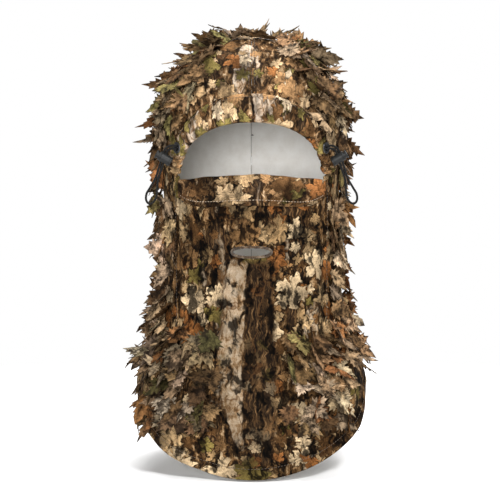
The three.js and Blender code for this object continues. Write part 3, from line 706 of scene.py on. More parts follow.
# ---------- camera, light and floor ----------
def lit_stage():
    camera_data = bpy.data.cameras.new("camera")
    camera_data.lens = 145
    camera_data.sensor_width = 36
    camera_data.clip_end = 30
    camera = bpy.data.objects.new("camera", camera_data)
    bpy.context.scene.collection.objects.link(camera)
    distance, elevation = 2.0, math.radians(4)
    target = Vector((-0.0015, 0, 0.2085 - SEAT / 1000))
    camera.location = target + Vector((0, -math.cos(elevation), math.sin(elevation))) * distance
    camera.rotation_euler = (math.radians(90) - elevation, 0, 0)
    bpy.context.scene.camera = camera

    world = bpy.data.worlds.new("studio")
    world.use_nodes = True
    nodes, links = world.node_tree.nodes, world.node_tree.links
    sky = nodes["Background"]
    sky.inputs[0].default_value = (1, 1, 1, 1)
    sky.inputs[1].default_value = 0.3
    backdrop = nodes.new("ShaderNodeBackground")
    backdrop.inputs[0].default_value = (1, 1, 1, 1)
    path = nodes.new("ShaderNodeLightPath")
    choose = nodes.new("ShaderNodeMixShader")
    links.new(path.outputs["Is Camera Ray"], choose.inputs[0])
    links.new(sky.outputs[0], choose.inputs[1])
    links.new(backdrop.outputs[0], choose.inputs[2])
    links.new(choose.outputs[0], nodes["World Output"].inputs[0])
    bpy.context.scene.world = world
    bpy.context.scene.view_settings.view_transform = "Standard"

    def softbox(name, location, size, power):
        data = bpy.data.lights.new(name, "AREA")
        data.shape = "SQUARE"
        data.size = size
        data.energy = power
        light = bpy.data.objects.new(name, data)
        light.location = location
        aim = Vector((0, 0, -0.2)) - Vector(location)
        light.rotation_euler = aim.to_track_quat("-Z", "Y").to_euler()
        bpy.context.scene.collection.objects.link(light)

    softbox("key", (0.75, -1.6, 1.3), 0.5, 46)
    softbox("fill", (-0.35, -2.5, 0.1), 0.7, 52)
    softbox("top", (-0.2, 0.2, 1.6), 1.0, 34)
    softbox("back", (0.4, 2.0, 0.5), 0.8, 34)

    floor_z = cad_bounds[0][2] - 0.001
    bpy.ops.mesh.primitive_circle_add(vertices=96, radius=0.8, fill_type="NGON", location=(0, 0, floor_z))
    floor = bpy.context.object
    floor.name = "floor"
    g = Graph("pale_floor", (0.9, 0.9, 0.9))
    floor.data.materials.append(g.finish((0.92, 0.92, 0.92), Roughness=0.8, Specular_IOR_Level=0.1))


lit_stage()

# ---------- cord loops ----------
LOOP = dict(out=3.0, bend=7.0, tilt=math.radians(18), straight=21.0, drop=46.0, half=4.9)
LOCK_DROP, LOCK_LEAN = 6.0, math.radians(12)
STRANDS = CORD + 0.6
SIDES = (("left", 1), ("right", -1))


def eyelet_face(side):
    """The middle of the eyelet on the casing's face, and the way out of it."""
    middle, out, _ = casing_frame(np.array(side * EYELET_AT))
    return Vector(middle + out * CASING_THICK / 2), Vector(out)


def loop_frame(side):
    """The cord's ways down, aside and away from the casing, where it turns, and where its lock sits."""
    face, out = eyelet_face(side)
    down = Vector((side * math.sin(LOOP["tilt"]), 0, -math.cos(LOOP["tilt"])))
    aside = Vector((side * math.cos(LOOP["tilt"]), 0, math.sin(LOOP["tilt"])))
    away = (out - down * out.dot(down)).normalized()
    turn_at = face + away * LOOP["out"] + down * LOOP["bend"]
    lock_at = turn_at + aside * LOOP["bend"] + down * LOCK_DROP
    return face, down, aside, away, turn_at, lock_at


def loop_route(side):
    """The loop's points: out of the eyelet, over and down through the lock, round the end and back."""
    face, down, aside, away, turn_at, lock_at = loop_frame(side)

    def strand(d):
        bend = LOOP["bend"] + d
        points = [face + away * (CORD / 2 + 0.3 - CASING_THICK / 2) - down * d]
        for turn in (0, 0.25, 0.5, 0.75, 1):
            a = turn * math.pi / 2
            towards = away.lerp(aside, turn).normalized()
            points.append(turn_at - down * (bend * math.cos(a)) + towards * (bend * math.sin(a)))
        across = aside * math.copysign(1, d)
        for along in (0, LOOP["straight"] / 2, LOOP["straight"]):
            points.append(lock_at + down * along + across * abs(d))
        for share, apart in ((0.68, 0.72), (0.83, 1), (0.955, 0.66)):
            points.append(lock_at + down * (LOOP["drop"] * share) + across * (LOOP["half"] * apart))
        return points

    end = lock_at + down * LOOP["drop"]
    return strand(STRANDS / 2) + [end] + strand(-STRANDS / 2)[::-1]


def curve_through(points, per_span=8):
    """Centripetal Catmull-Rom curve through points."""
    points = [Vector(p) for p in points]
    points = [points[0] * 2 - points[1]] + points + [points[-1] * 2 - points[-2]]
    found = []
    for i in range(1, len(points) - 2):
        p = points[i - 1:i + 3]
        t = [0.0]
        for a, b in zip(p, p[1:]):
            t.append(t[-1] + max((b - a).length, 1e-6) ** 0.5)
        for k in range(per_span):
            x = t[1] + (t[2] - t[1]) * k / per_span
            level = list(p)
            for step in (1, 2, 3):
                nxt = []
                for j in range(4 - step):
                    if step == 1:
                        a, b = t[j], t[j + 1]
                    elif step == 2:
                        a, b = t[j], t[j + 2]
                    else:
                        a, b = t[1], t[2]
                    nxt.append(level[j] * ((b - x) / (b - a)) + level[j + 1] * ((x - a) / (b - a)))
                level = nxt
            found.append(level[0])
    found.append(points[-2])
    return found


def cord_curve(name, points, diameter, material):
    """A round cord through points in millimetres. Returns the curve object and its length in metres."""
    line = [Vector(p) for p in place([tuple(p) for p in points])]
    data = bpy.data.curves.new(name, "CURVE")
    data.dimensions = "3D"
    data.bevel_depth = diameter / 2000
    data.bevel_resolution = 4
    data.use_fill_caps = True
    spline = data.splines.new("POLY")
    spline.points.add(len(line) - 1)
    for point, at in zip(spline.points, line):
        point.co = (*at, 1)
    data.materials.append(material)
    obj = bpy.data.objects.new(name, data)
    bpy.context.scene.collection.objects.link(obj)
    return obj, sum((b - a).length for a, b in zip(line, line[1:]))


for name, side in SIDES:
    route = curve_through(loop_route(side))
    loop, length = cord_curve("elastic_loop_" + name, route, CORD, BRAID)
    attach(loop, "hood")
    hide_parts("cord_loop_" + name)
    start = place([tuple(route[0])])[0]

inside = []
for i in range(-12, 13):
    middle, out, _ = casing_frame(np.array((EYELET_AT - math.radians(3)) * i / 12))
    inside.append(middle + out * (0.3 + CORD / 2 + 1.2 - CASING_THICK / 2))
drawcord, _ = cord_curve("drawcord_in_casing", curve_through(inside, 4), CORD, BRAID)
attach(drawcord, "hood")
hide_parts("brow_drawcord")


# ---------- turned pieces: eyelets, locks and springs ----------
def lathe(name, profile, material, sides=48, closed=False):
    """A body turned about Z from [radius, height] points in millimetres."""
    profile = np.asarray(profile, dtype=float)
    turns = np.linspace(0, 2 * math.pi, sides, endpoint=False)
    bm = bmesh.new()
    rings = []
    for radius, height in profile:
        if radius < 1e-6:
            rings.append([bm.verts.new((0, 0, height / 1000))])
            continue
        rings.append([
            bm.verts.new((radius * math.cos(a) / 1000, radius * math.sin(a) / 1000, height / 1000))
            for a in turns
        ])
    pairs = list(zip(rings, rings[1:])) + ([(rings[-1], rings[0])] if closed else [])
    for low, high in pairs:
        for k in range(sides):
            j = (k + 1) % sides
            corners = [low[k % len(low)], low[j % len(low)], high[j % len(high)], high[k % len(high)]]
            unique = list(dict.fromkeys(corners))
            if len(unique) > 2:
                bm.faces.new(unique)
    bmesh.ops.recalc_face_normals(bm, faces=bm.faces)
    mesh = bpy.data.meshes.new(name)
    bm.to_mesh(mesh)
    bm.free()
    mesh.materials.append(material)
    obj = bpy.data.objects.new(name, mesh)
    bpy.context.scene.collection.objects.link(obj)
    return obj


def cut_slot(obj, wide, low, high):
    """Cuts a slot along X right through a turned body, between two heights along its axis."""
    bpy.ops.mesh.primitive_cube_add(size=1)
    cutter = bpy.context.object
    cutter.scale = (0.03, wide / 1000, (high - low) / 1000)
    cutter.location = (0, 0, (low + high) / 2000)
    bpy.context.view_layer.update()
    made = obj.modifiers.new("slot", "BOOLEAN")
    made.operation = "DIFFERENCE"
    made.solver = "EXACT"
    made.object = cutter
    with bpy.context.temp_override(object=obj, active_object=obj):
        bpy.ops.object.modifier_apply(modifier="slot")
    bpy.data.objects.remove(cutter, do_unlink=True)


def set_frame(obj, x_axis, y_axis, z_axis, origin):
    """Lays an object made round its own Z into the row frame; origin is in millimetres."""
    at = place([tuple(origin)])[0]
    m = Matrix((
        (x_axis[0], y_axis[0], z_axis[0], at[0]), (x_axis[1], y_axis[1], z_axis[1], at[1]),
        (x_axis[2], y_axis[2], z_axis[2], at[2]), (0, 0, 0, 1),
    ))
    obj.data.transform(m)
    obj.data.update()


def shade(obj, angle=35):
    obj.data.polygons.foreach_set("use_smooth", [True] * len(obj.data.polygons))
    with bpy.context.temp_override(object=obj, active_object=obj, selected_editable_objects=[obj]):
        bpy.ops.object.shade_smooth_by_angle(angle=math.radians(angle))


LOCK = dict(radius=4.7, bore=3.6, floor=1.2, plunger=3.3, spring=2.4, wall=1.0, wide=CORD + 0.8, travel=1.4,
            head=4.2, head_thick=2.0)


def as_mesh(curve):
    """The curve's tube as a mesh of the same name."""
    name = curve.name
    depsgraph = bpy.context.evaluated_depsgraph_get()
    mesh = bpy.data.meshes.new_from_object(curve.evaluated_get(depsgraph))
    bpy.data.objects.remove(curve)
    made = bpy.data.objects.new(name, mesh)
    bpy.context.scene.collection.objects.link(made)
    return made


def lock_pieces(name, side):
    _, down, aside, _, _, lock_at = loop_frame(side)
    button = aside * math.cos(LOCK_LEAN) - down * math.sin(LOCK_LEAN)
    beside = button.cross(down).normalized()
    ahead = beside.cross(button)
    slot_half = STRANDS / 2 + CORD / 2 + 0.3 + LOCK["radius"] * math.tan(LOCK_LEAN)
    plunger_from = LOCK["floor"] + LOCK["spring"]
    slot_from = plunger_from + LOCK["wall"]
    slot_to = slot_from + 2 * slot_half
    length = slot_to + LOCK["wall"]
    shift = slot_from + slot_half
    r, bore = LOCK["radius"], LOCK["bore"]
    ribs = []
    for middle in (1.9, length - 1.9):
        ribs += [[r, middle - 0.45], [r - 0.3, middle - 0.2], [r - 0.3, middle + 0.2], [r, middle + 0.45]]
    low, high = ribs[:4], ribs[4:]
    barrel = lathe("lock_body_" + name, [
        [0, 0.15], [r - 1.6, 0.15], [r - 1.4, 0], [r - 0.6, 0], [r - 0.18, 0.18], [r, 0.6], *low, *high,
        [r, length - 0.5], [r - 0.18, length - 0.12], [r - 0.45, length], [bore + 0.15, length],
        [bore, length - 0.15], [bore, LOCK["floor"]], [0, LOCK["floor"]],
    ], PLASTIC)
    cut_slot(barrel, LOCK["wide"], slot_from - LOCK["travel"], slot_to)
    head_from = length + LOCK["travel"] + 0.3
    h, t = LOCK["head"], LOCK["head_thick"]
    plunger = lathe("lock_plunger_" + name, [
        [0, plunger_from], [LOCK["plunger"], plunger_from], [LOCK["plunger"], head_from],
        [h - 0.15, head_from],
        [h, head_from + 0.15], [h, head_from + t * 0.5], [h * 0.95, head_from + t * 0.7],
        [h * 0.8, head_from + t * 0.86], [h * 0.66, head_from + t * 0.9], [h * 0.62, head_from + t * 0.8],
        [h * 0.5, head_from + t * 0.8], [h * 0.45, head_from + t * 0.95], [0, head_from + t],
    ], PLASTIC)
    cut_slot(plunger, LOCK["wide"], slot_from, slot_to + LOCK["travel"])
    for piece, node, body in ((barrel, "lock_barrel_", "_lock"), (plunger, "lock_button_", "_button")):
        shade(piece)
        set_frame(piece, ahead, beside, button, lock_at - button * shift)
        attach(piece, name + body)
        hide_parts(node + name)
    low = LOCK["floor"] + 0.35
    rise = plunger_from - 0.35 - low
    coil = [
        lock_at + ahead * (2.4 * math.cos(a)) + beside * (2.4 * math.sin(a))
        + button * (low + rise * a / (4 * math.pi) - shift)
        for a in np.linspace(0, 4 * math.pi, 65)
    ]
    spring, _ = cord_curve("lock_coil_" + name, coil, 0.5, STEEL)
    spring = as_mesh(spring)
    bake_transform(spring)
    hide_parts("lock_spring_" + name)


def eyelet(name, side):
    face, out = eyelet_face(side)
    hole = (STRANDS + CORD) / 2 + 0.6
    rim, flange, thick, deep = hole + 0.5, hole + 2.5, 0.8, 1.9
    ring = lathe("eyelet_ring_" + name, [
        [hole + 0.05, -deep], [rim - 0.05, -deep], [rim, 0.2], [rim + 0.1, 0.3], [flange - 0.1, 0.3],
        [flange, 0.42], [flange - 0.25, 0.75], [flange - 0.9, 0.3 + thick - 0.05], [rim + 0.2, 0.3 + thick],
        [hole + 0.35, 0.22 + thick], [hole + 0.08, thick], [hole, 0.3],
    ], STEEL, sides=56, closed=True)
    shade(ring, 50)
    sideways = out.orthogonal().normalized()
    set_frame(ring, sideways, out.cross(sideways), out, face)
    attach(ring, "hood")
    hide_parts("cord_eyelet_" + name)


for name, side in SIDES:
    lock_pieces(name, side)
    eyelet(name, side)


# ---------- stitching ----------
# Rings of one stitch: share of its length, width and height.
STITCH_RINGS = ((0, 0.25, -0.3), (0.14, 0.85, 0.1), (0.5, 1.0, 0.38), (0.86, 0.85, 0.1), (1, 0.25, -0.3))


def stitch_row(name, points, normals, body, pitch=3.2, long=2.3, radius=0.26, material=None):
    """A row of separate stitches lying along points in millimetres."""
    points, normals = np.asarray(points, float), np.asarray(normals, float)
    steps = np.linalg.norm(np.diff(points, axis=0), axis=1)
    at = np.concatenate([[0], np.cumsum(steps)])
    count = max(int(at[-1] / pitch), 1)
    vertices, faces = [], []
    sides = 6
    for i in range(count):
        middle = (i + 0.5) * at[-1] / count
        ends = [
            np.array([np.interp(middle + d, at, points[:, k]) for k in range(3)])
            for d in (-long / 2, long / 2)
        ]
        up = np.array([np.interp(middle, at, normals[:, k]) for k in range(3)])
        way = ends[1] - ends[0]
        size = np.linalg.norm(way)
        if size < long * 0.5:
            continue
        way = way / size
        up = up / np.linalg.norm(up)
        aside = np.cross(way, up)
        base = len(vertices)
        for share, wide, high in STITCH_RINGS:
            centre = ends[0] + way * size * share + up * high * radius * 2
            for k in range(sides):
                a = 2 * math.pi * k / sides
                vertices.append(centre + (aside * math.cos(a) + up * math.sin(a)) * radius * wide)
        for r in range(4):
            for k in range(sides):
                j = (k + 1) % sides
                faces.append((base + r * sides + k, base + r * sides + j, base + (r + 1) * sides + j,
                              base + (r + 1) * sides + k))
        faces.append(tuple(base + k for k in range(sides))[::-1])
        faces.append(tuple(base + 4 * sides + k for k in range(sides)))
    obj = make_object(name, place(vertices), faces, [material or THREAD])
    tidy_mesh(obj, 1e-8)
    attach(obj, body)
    return obj


# ---------- hood halves ----------
HOOD_CLOTH = 1.3
CASING_SEAM = 0.9  # the hood's edge lies under this share of the casing


def hood_edge(z):
    """Where a hood half begins in front, as x at a height: the side seam, the casing, the crown seam."""
    half = OPENING["half"] + (CASING_HALF - OPENING["half"]) * CASING_SEAM
    rise = OPENING["rise"] + CASING_TOP * CASING_SEAM
    high = np.clip((z - OPENING["base"]) / rise, 0, 1)
    round_casing = half * (1 - high ** OPENING["power"]) ** (1 / OPENING["power"])
    blend = np.clip((z - OPENING["base"] - 4) / 5, 0, 1)
    below = OPENING["half"] + (round_casing - OPENING["half"]) * blend * blend * (3 - 2 * blend)
    return np.where(z < OPENING["base"] + 9, below, round_casing)


def edge_azimuth(along):
    """The same edge as an azimuth, at a height along the cloth."""
    lean = np.clip((along - WIDEST) / DOME_ARC, 0, 1) * (math.pi / 2)
    z = np.minimum(along, WIDEST) + DOME_RISE * np.sin(lean) ** DOME_POWER
    around = np.maximum(np.cos(lean), 1e-6) ** DOME_POWER
    x = np.where(z > OPENING["base"] + OPENING["rise"] + CASING_TOP * CASING_SEAM, 0, hood_edge(z))
    return np.arcsin(np.clip(x / (section(np.minimum(z, WIDEST), 1) * around), 0, 1))


def seam_dip(azimuth, along):
    """The cloth pulls in along its seams: the crown and back seams and the side seams."""
    p = surface(azimuth, along)
    x = np.abs(p[..., 0])
    top = np.where((along > 330) | (p[..., 1] > 0), 1.0, 0.0)
    crown = top * np.exp(-((x / 1.5) ** 2))
    low_front = (p[..., 1] < 0) & (p[..., 2] < OPENING["base"])
    side = np.where(low_front, np.exp(-(((x - OPENING["half"]) / 1.5) ** 2)), 0)
    middle = np.where((p[..., 1] < 0) & (p[..., 2] < OPENING["base"]), np.exp(-((x / 1.1) ** 2)), 0)
    return -0.9 * crown - 0.9 * side - 0.55 * middle


def hood_half(name, side, rows=200, columns=116):
    v = np.linspace(0, 1, rows)[:, None]
    u = np.linspace(0, 1, columns)[None, :]
    azimuth = np.full((rows, columns), 1.5)
    for _ in range(12):
        low = hem_height(azimuth) + HEM_WIDTH * 0.7
        along = low + (POLE - 0.4 - low) * v
        start = edge_azimuth(along)
        azimuth = start + (math.pi - start) * u
    azimuth, along = np.broadcast_arrays(azimuth, along)
    lift = seam_dip(azimuth, along)
    points = cloth_point(azimuth * side, along, lift)
    gap = 0.12 * np.exp(-(np.abs(points[..., 0]) / 0.4))
    points[..., 0] = np.where(np.abs(points[..., 0]) < 3, points[..., 0] + side * gap, points[..., 0])
    uv = print_uv(azimuth * side, along)
    flat = points if side > 0 else points[:, ::-1]
    uv = uv if side > 0 else uv[:, ::-1]
    normals = outward(azimuth * side, along)
    normals = normals if side > 0 else normals[:, ::-1]
    obj = sheet_mesh("hood_half_" + name, flat, uv, [PRINT, REVERSE], HOOD_CLOTH, normals=normals)
    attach(obj, "hood")
    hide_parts(*[part + name for part in
                       ("crown_panel_", "cheek_panel_", "nape_panel_", "shoulder_panel_", "back_bib_")])
    return obj


hood_halves = [hood_half(name, side) for name, side in SIDES]


# ---------- face cover ----------
def slot_depth(x, z, grow=0.0):
    """Under 1 inside the mouth slot's outline."""
    across = (np.abs(x) / (SLOT["half"] + grow)) ** 2.6
    return across + (np.abs(z - SLOT["z"]) / (SLOT["tall"] / 2 + grow)) ** 2.0


def face_cover():
    x = np.linspace(-OPENING["half"], OPENING["half"], 133)[None, :]
    v = np.linspace(0, 1, 190)[:, None]
    z = np.full((190, 133), 150.0)
    for _ in range(12):
        low = hem_height(azimuth_over(x, z)) + HEM_WIDTH * 0.7
        z = low + (band_bottom(x) + 2 - low) * v
    azimuth = azimuth_over(x, z)
    points = cloth_point(azimuth, z, seam_dip(azimuth, z))
    # The mouth slot: faces inside its outline are left out.
    middle = (z[:-1, :-1] + z[1:, 1:]) / 2, (x + z * 0)[:-1, :-1] / 2 + (x + z * 0)[1:, 1:] / 2
    keep = slot_depth(middle[1], middle[0]) > 1
    obj = sheet_mesh("face_cover", points, print_uv(azimuth, z), [PRINT, REVERSE], HOOD_CLOTH, keep)
    low, high = SLOT["z"] + SLOT["tall"] / 2, 255.0
    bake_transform(obj)
    panels = ("mouth_panel_", "front_bib_", "nose_panel_")
    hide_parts(*[part + name for part in panels for name, _ in SIDES])
    return obj


cover = face_cover()


def slot_binding():
    """The slot's rolled rim, a little puckered by its stitching."""
    rings = []
    steps, around = 120, 14
    for i in range(steps):
        a = 2 * math.pi * i / steps
        x = (SLOT["half"] + 0.3) * math.copysign(abs(math.cos(a)) ** (2 / 2.6), math.cos(a))
        z = SLOT["z"] + (SLOT["tall"] / 2 + 0.3) * math.sin(a)
        azimuth = float(azimuth_over(x, z))
        out = outward(azimuth, z)
        p = cloth_point(azimuth, z, -HOOD_CLOTH / 2)
        away = np.array([math.cos(a) * 0.5, 0, math.sin(a)])
        away = away - out * np.dot(away, out)
        away /= np.linalg.norm(away)
        pucker = 1 + 0.07 * math.sin(36 * a) + 0.05 * math.sin(23 * a + 1)
        rings.append([
            p + out * (1.55 * pucker * math.sin(b)) + away * (1.35 * pucker * math.cos(b))
            for b in np.linspace(0, 2 * math.pi, around, endpoint=False)
        ])
    rings = np.array(rings)
    faces = []
    for r in range(steps):
        for c in range(around):
            s, d = (r + 1) % steps, (c + 1) % around
            faces.append((r * around + c, r * around + d, s * around + d, s * around + c))
    turns = np.arange(steps * around)
    uv = np.stack([turns // around * 0.8, turns % around / around], axis=1)
    obj = make_object("slot_rim", place(rings), faces, [RIM], uv)
    tidy_mesh(obj)
    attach(obj, "hood")
    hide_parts("mouth_slot_binding")
    return obj


slot_binding()


# ---------- nose band ----------
STRIP_CLOTH = 1.1  # each layer of a strip that is folded double


def nose_band():
    """A strip folded double: its outer and inner faces and its rolled top edge."""
    columns = 150
    x = np.linspace(-OPENING["half"] + 0.2, OPENING["half"] - 0.2, columns)
    top, bottom = band_top(x), band_bottom(x)
    rise = 0.9 * np.sin(x / 9.0 + 0.6) * np.exp(-((x / 60) ** 4)) + 0.5 * np.sin(x / 4.1)
    section_points = []
    for share in np.linspace(0, 1, 12):
        section_points.append((share, 1.3 + 0.5 * math.sin(math.pi * share), 0))
    for a in np.linspace(0, math.pi, 7)[1:-1]:
        section_points.append((1, 1.3 - 1.7 + 1.7 * math.cos(a), 1.4 * math.sin(a)))
    for share in np.linspace(1, 0, 10):
        section_points.append((share, -2.1, 0))
    rings = np.empty((columns, len(section_points), 3))
    uv = np.empty((columns, len(section_points), 2))
    for k, (share, lift, over) in enumerate(section_points):
        z = bottom + (top - 1.4 - bottom) * share + over + rise * share * 0.5
        azimuth = azimuth_over(x, np.minimum(z, 325))
        outer = lift > -1.5
        wrinkle = np.array([
            noise.noise(Vector((xx / 7, zz / 17, 3.3))) * 0.8
            + noise.noise(Vector((xx / 19, zz / 5, 8.1))) * 0.55
            for xx, zz in zip(x, z)
        ]) * math.sin(math.pi * min(max(share, 0.08), 0.9)) * (1 if outer else 0)
        seam = -0.6 * math.exp(-(((share - 0.15) / 0.05) ** 2)) if outer else 0
        seam = seam - (0.6 * np.exp(-((x / 1.1) ** 2)) if outer else 0)
        flat = surface(azimuth, z) + outward(azimuth, z) * (lift + wrinkle + seam)[:, None]
        rings[:, k] = flat
        uv[:, k, 0] = x / 1000 + 0.113
        uv[:, k, 1] = (z + (0 if outer else 30)) / 1000 + 0.05
    rows = rings.transpose(1, 0, 2)
    obj = sheet_mesh("nose_strip", rows, uv.transpose(1, 0, 2), [PRINT, REVERSE], STRIP_CLOTH)
    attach(obj, "nose_band")
    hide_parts("nose_band_left", "nose_band_right")
    seam_at = rings[2:-2, 2]
    azimuth = azimuth_over(x, bottom + 4)[2:-2]
    stitch_row("nose_strip_stitches", seam_at, outward(azimuth, (bottom + 4)[2:-2]), "nose_band",
               material=PALE_THREAD)
    return obj


strip = nose_band()


# ---------- casing round the eyes ----------
def ripple(turn, share, side_seed):
    """Gathers of the casing: ridges across it, tight at its sides, where the cord draws it up."""
    side = np.clip((np.abs(turn) - math.radians(24)) / math.radians(50), 0, 1)
    run = turn * 86
    lean = share * 3.2 * np.sign(turn)
    total = 0
    for wave, high, phase in ((3.4, 0.45, 0.3), (5.3, 1.15, 1.7), (8.9, 1.35, 4.0)):
        swing = np.sin(run / wave * 2 + lean + phase + 1.3 * np.sin(run / 17 + phase) + side_seed)
        total = total + high * (np.abs(swing) * 2 - 1)
    return total * (0.2 + 1.15 * side)


def casing():
    turns = np.linspace(-CASING_FROM, CASING_FROM, 361)
    middle, out, across = casing_frame(turns)
    half = np.linalg.norm(across, axis=1)
    over = across / half[:, None]
    angles = np.radians(np.linspace(4, 356, 43))
    eyelets = [np.array(eyelet_face(side)[0]) for _, side in SIDES]
    points = np.empty((len(angles), len(turns), 3))
    uv = np.empty((len(angles), len(turns), 2))
    # The tube is sewn flat at its two ends.
    end = np.clip((CASING_FROM - np.abs(turns)) / math.radians(5), 0, 1)
    plump = 0.45 + 0.55 * np.sqrt(end)
    for k, a in enumerate(angles):
        wide, high = np.cos(a), np.sin(a)
        square = (abs(high) ** 0.75) * np.sign(high)
        share = (1 - wide) / 2 if high >= 0 else (1 + wide) / 2
        gather = ripple(turns, wide, 0.0 if high >= 0 else 2.0) * abs(high) ** 0.5
        crease = -0.7 * np.exp(-(((wide - 0.72) / 0.07) ** 2)) if high > 0 else 0
        lift = square * 3.5 * plump
        bulge = lift + (gather + crease) * np.sign(high)
        p = middle + over * (wide * (half - 0.4))[:, None] + out * bulge[:, None]
        for eye in eyelets:
            near = np.linalg.norm(p - eye, axis=1)
            calm_here = np.clip((near - 5.5) / 7, 0, 1)[:, None] if high > 0 else 1
            flat = middle + over * (wide * (half - 0.4))[:, None] + out * lift[:, None]
            p = flat + (p - flat) * calm_here
        points[k] = p
        # The casing's print sits above 0.3 m, where the print takes the painted light of the crown.
        uv[k, :, 0] = turns * 96 / 1000 + 0.41
        uv[k, :, 1] = 0.40 + (a * 9) / 1000
    keep = np.ones((len(angles) - 1, len(turns) - 1), dtype=bool)
    centres = (points[:-1, :-1] + points[1:, 1:]) / 2
    for eye in eyelets:
        keep &= ~(np.linalg.norm(centres - eye, axis=2) < 4.3)
    obj = sheet_mesh("brow_tunnel", points[::-1], uv[::-1], [PRINT, REVERSE], 1.0, keep[::-1])
    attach(obj, "hood")
    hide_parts("brow_casing")
    seam = middle + over * (half * 0.72)[:, None] + out * (3.5 * 0.72 + 0.1)
    stitch_row("brow_tunnel_stitches", seam[6:-6], out[6:-6], "hood")
    return obj


tunnel = casing()


# ---------- hem ----------
def hem():
    """The turned-up lower edge: one folded band all the way round."""
    columns = 420
    azimuth = np.linspace(-math.pi + 0.0006, math.pi - 0.0006, columns)
    low = hem_height(azimuth)
    profile = [(share, 0.75) for share in np.linspace(1, 0.12, 9)]
    profile += [
        (0.12 - 0.1 * math.sin(a), -0.75 + 1.5 * math.cos(a))
        for a in np.linspace(0.3, math.pi - 0.3, 5)
    ]
    profile += [(share, -2.1) for share in np.linspace(0.12, 1, 7)]
    rings = np.empty((columns, len(profile), 3))
    uv = np.empty((columns, len(profile), 2))
    for k, (share, lift) in enumerate(profile):
        along = low + HEM_WIDTH * share
        seam = -0.5 * math.exp(-(((share - 0.82) / 0.07) ** 2)) if lift > 0 else 0
        rings[:, k] = cloth_point(azimuth, along, lift + seam)
        uv[:, k] = print_uv(azimuth, along if lift > 0 else along - 30)
    rows = rings.transpose(1, 0, 2)[::-1]
    obj = sheet_mesh("turned_hem", rows, uv.transpose(1, 0, 2)[::-1], [PRINT, REVERSE], STRIP_CLOTH)
    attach(obj, "hood")
    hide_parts(*[part + name for part in ("front_hem_", "back_hem_") for name, _ in SIDES])
    along = low + HEM_WIDTH * 0.82
    stitch_row("turned_hem_stitches", cloth_point(azimuth, along, 0.45), outward(azimuth, along), "hood")
    return obj


lower_hem = hem()


# ---------- seam stitching on the hood ----------
for name, side in SIDES:
    along = np.linspace(366, POLE - 6, 90)
    offset = 2.6
    lean = np.clip((along - WIDEST) / DOME_ARC, 0, 1) * (math.pi / 2)
    radius = 89 * np.maximum(np.cos(lean), 0.04) ** DOME_POWER
    front = side * np.arcsin(np.clip(offset / radius, 0, 0.9))
    back_along = np.linspace(POLE - 6, 112, 220)
    lean = np.clip((back_along - WIDEST) / DOME_ARC, 0, 1) * (math.pi / 2)
    radius = section(np.minimum(back_along, WIDEST), 1) * np.maximum(np.cos(lean), 0.04) ** DOME_POWER
    back = side * (math.pi - np.arcsin(np.clip(offset / radius, 0, 0.9)))
    stitch_row("crown_seam_stitches_" + name, cloth_point(front, along, 0.05), outward(front, along), "hood")
    back_points = cloth_point(back, back_along, 0.05)
    stitch_row("back_seam_stitches_" + name, back_points, outward(back, back_along), "hood")
    z = np.linspace(96, OPENING["base"] - 3, 120)
    seam_at = side * azimuth_over(OPENING["half"] + 2.6, z)
    stitch_row("side_seam_stitches_" + name, cloth_point(seam_at, z, 0.05), outward(seam_at, z), "hood")


# ---------- leaves ----------
# Half of a leaf's outline from its stem to its tip, as shares of its length.
OUTLINES = [
    [(0, 0), (.05, .06), (.26, -.06), (.22, .06), (.36, .06), (.26, .17), (.60, .24), (.46, .31), (.58, .44),
     (.38, .42), (.34, .50), (.16, .44), (.26, .66), (.15, .66), (.14, .78), (0, 1)],
    [(0, 0), (.06, .03), (.20, -.10), (.24, .02), (.42, .02), (.34, .14), (.54, .14), (.44, .26), (.62, .36),
     (.42, .38), (.44, .50), (.30, .46), (.18, .44), (.30, .62), (.18, .62), (.20, .78), (.10, .76), (0, 1)],
    [(0, 0), (.07, .05), (.18, .00), (.20, .12), (.34, .12), (.28, .22), (.44, .30), (.30, .34), (.38, .46),
     (.22, .46), (.28, .60), (.16, .60), (.20, .76), (.08, .78), (0, 1)],
]
LEAF_TINTS = [
    (0.47, 0.33, 0.205), (0.60, 0.47, 0.335), (0.32, 0.20, 0.11), (0.20, 0.12, 0.062), (0.33, 0.155, 0.065),
    (0.225, 0.19, 0.08), (0.41, 0.31, 0.215), (0.14, 0.08, 0.042), (0.66, 0.55, 0.42),
]
TINT_WEIGHTS = [22, 9, 20, 14, 8, 9, 14, 7, 4]
LEAF_CENTRE = (0.0, 0.34)
LEAF_RINGS = (0.45, 0.92, 1.0)


def cloth_tree():
    """The hood's and the face cover's outer faces, to keep leaves off them."""
    corners, faces = [], []
    for obj in (*hood_halves, cover):
        start = len(corners)
        corners += [v.co.copy() for v in obj.data.vertices]
        faces += [[start + i for i in p.vertices] for p in obj.data.polygons if p.material_index == 0]
    return BVHTree.FromPolygons(corners, faces)


CLOTH_TREE = cloth_tree()


def off_cloth(point, gap):
    """The point in millimetres, moved out where it would lie in the cloth or nearer to it than the gap."""
    at = Vector(place([tuple(point)])[0])
    near, normal, _, _ = CLOTH_TREE.find_nearest(at)
    height = (at - near).dot(normal) * 1000
    return point + normal * (gap - height) if height < gap else point


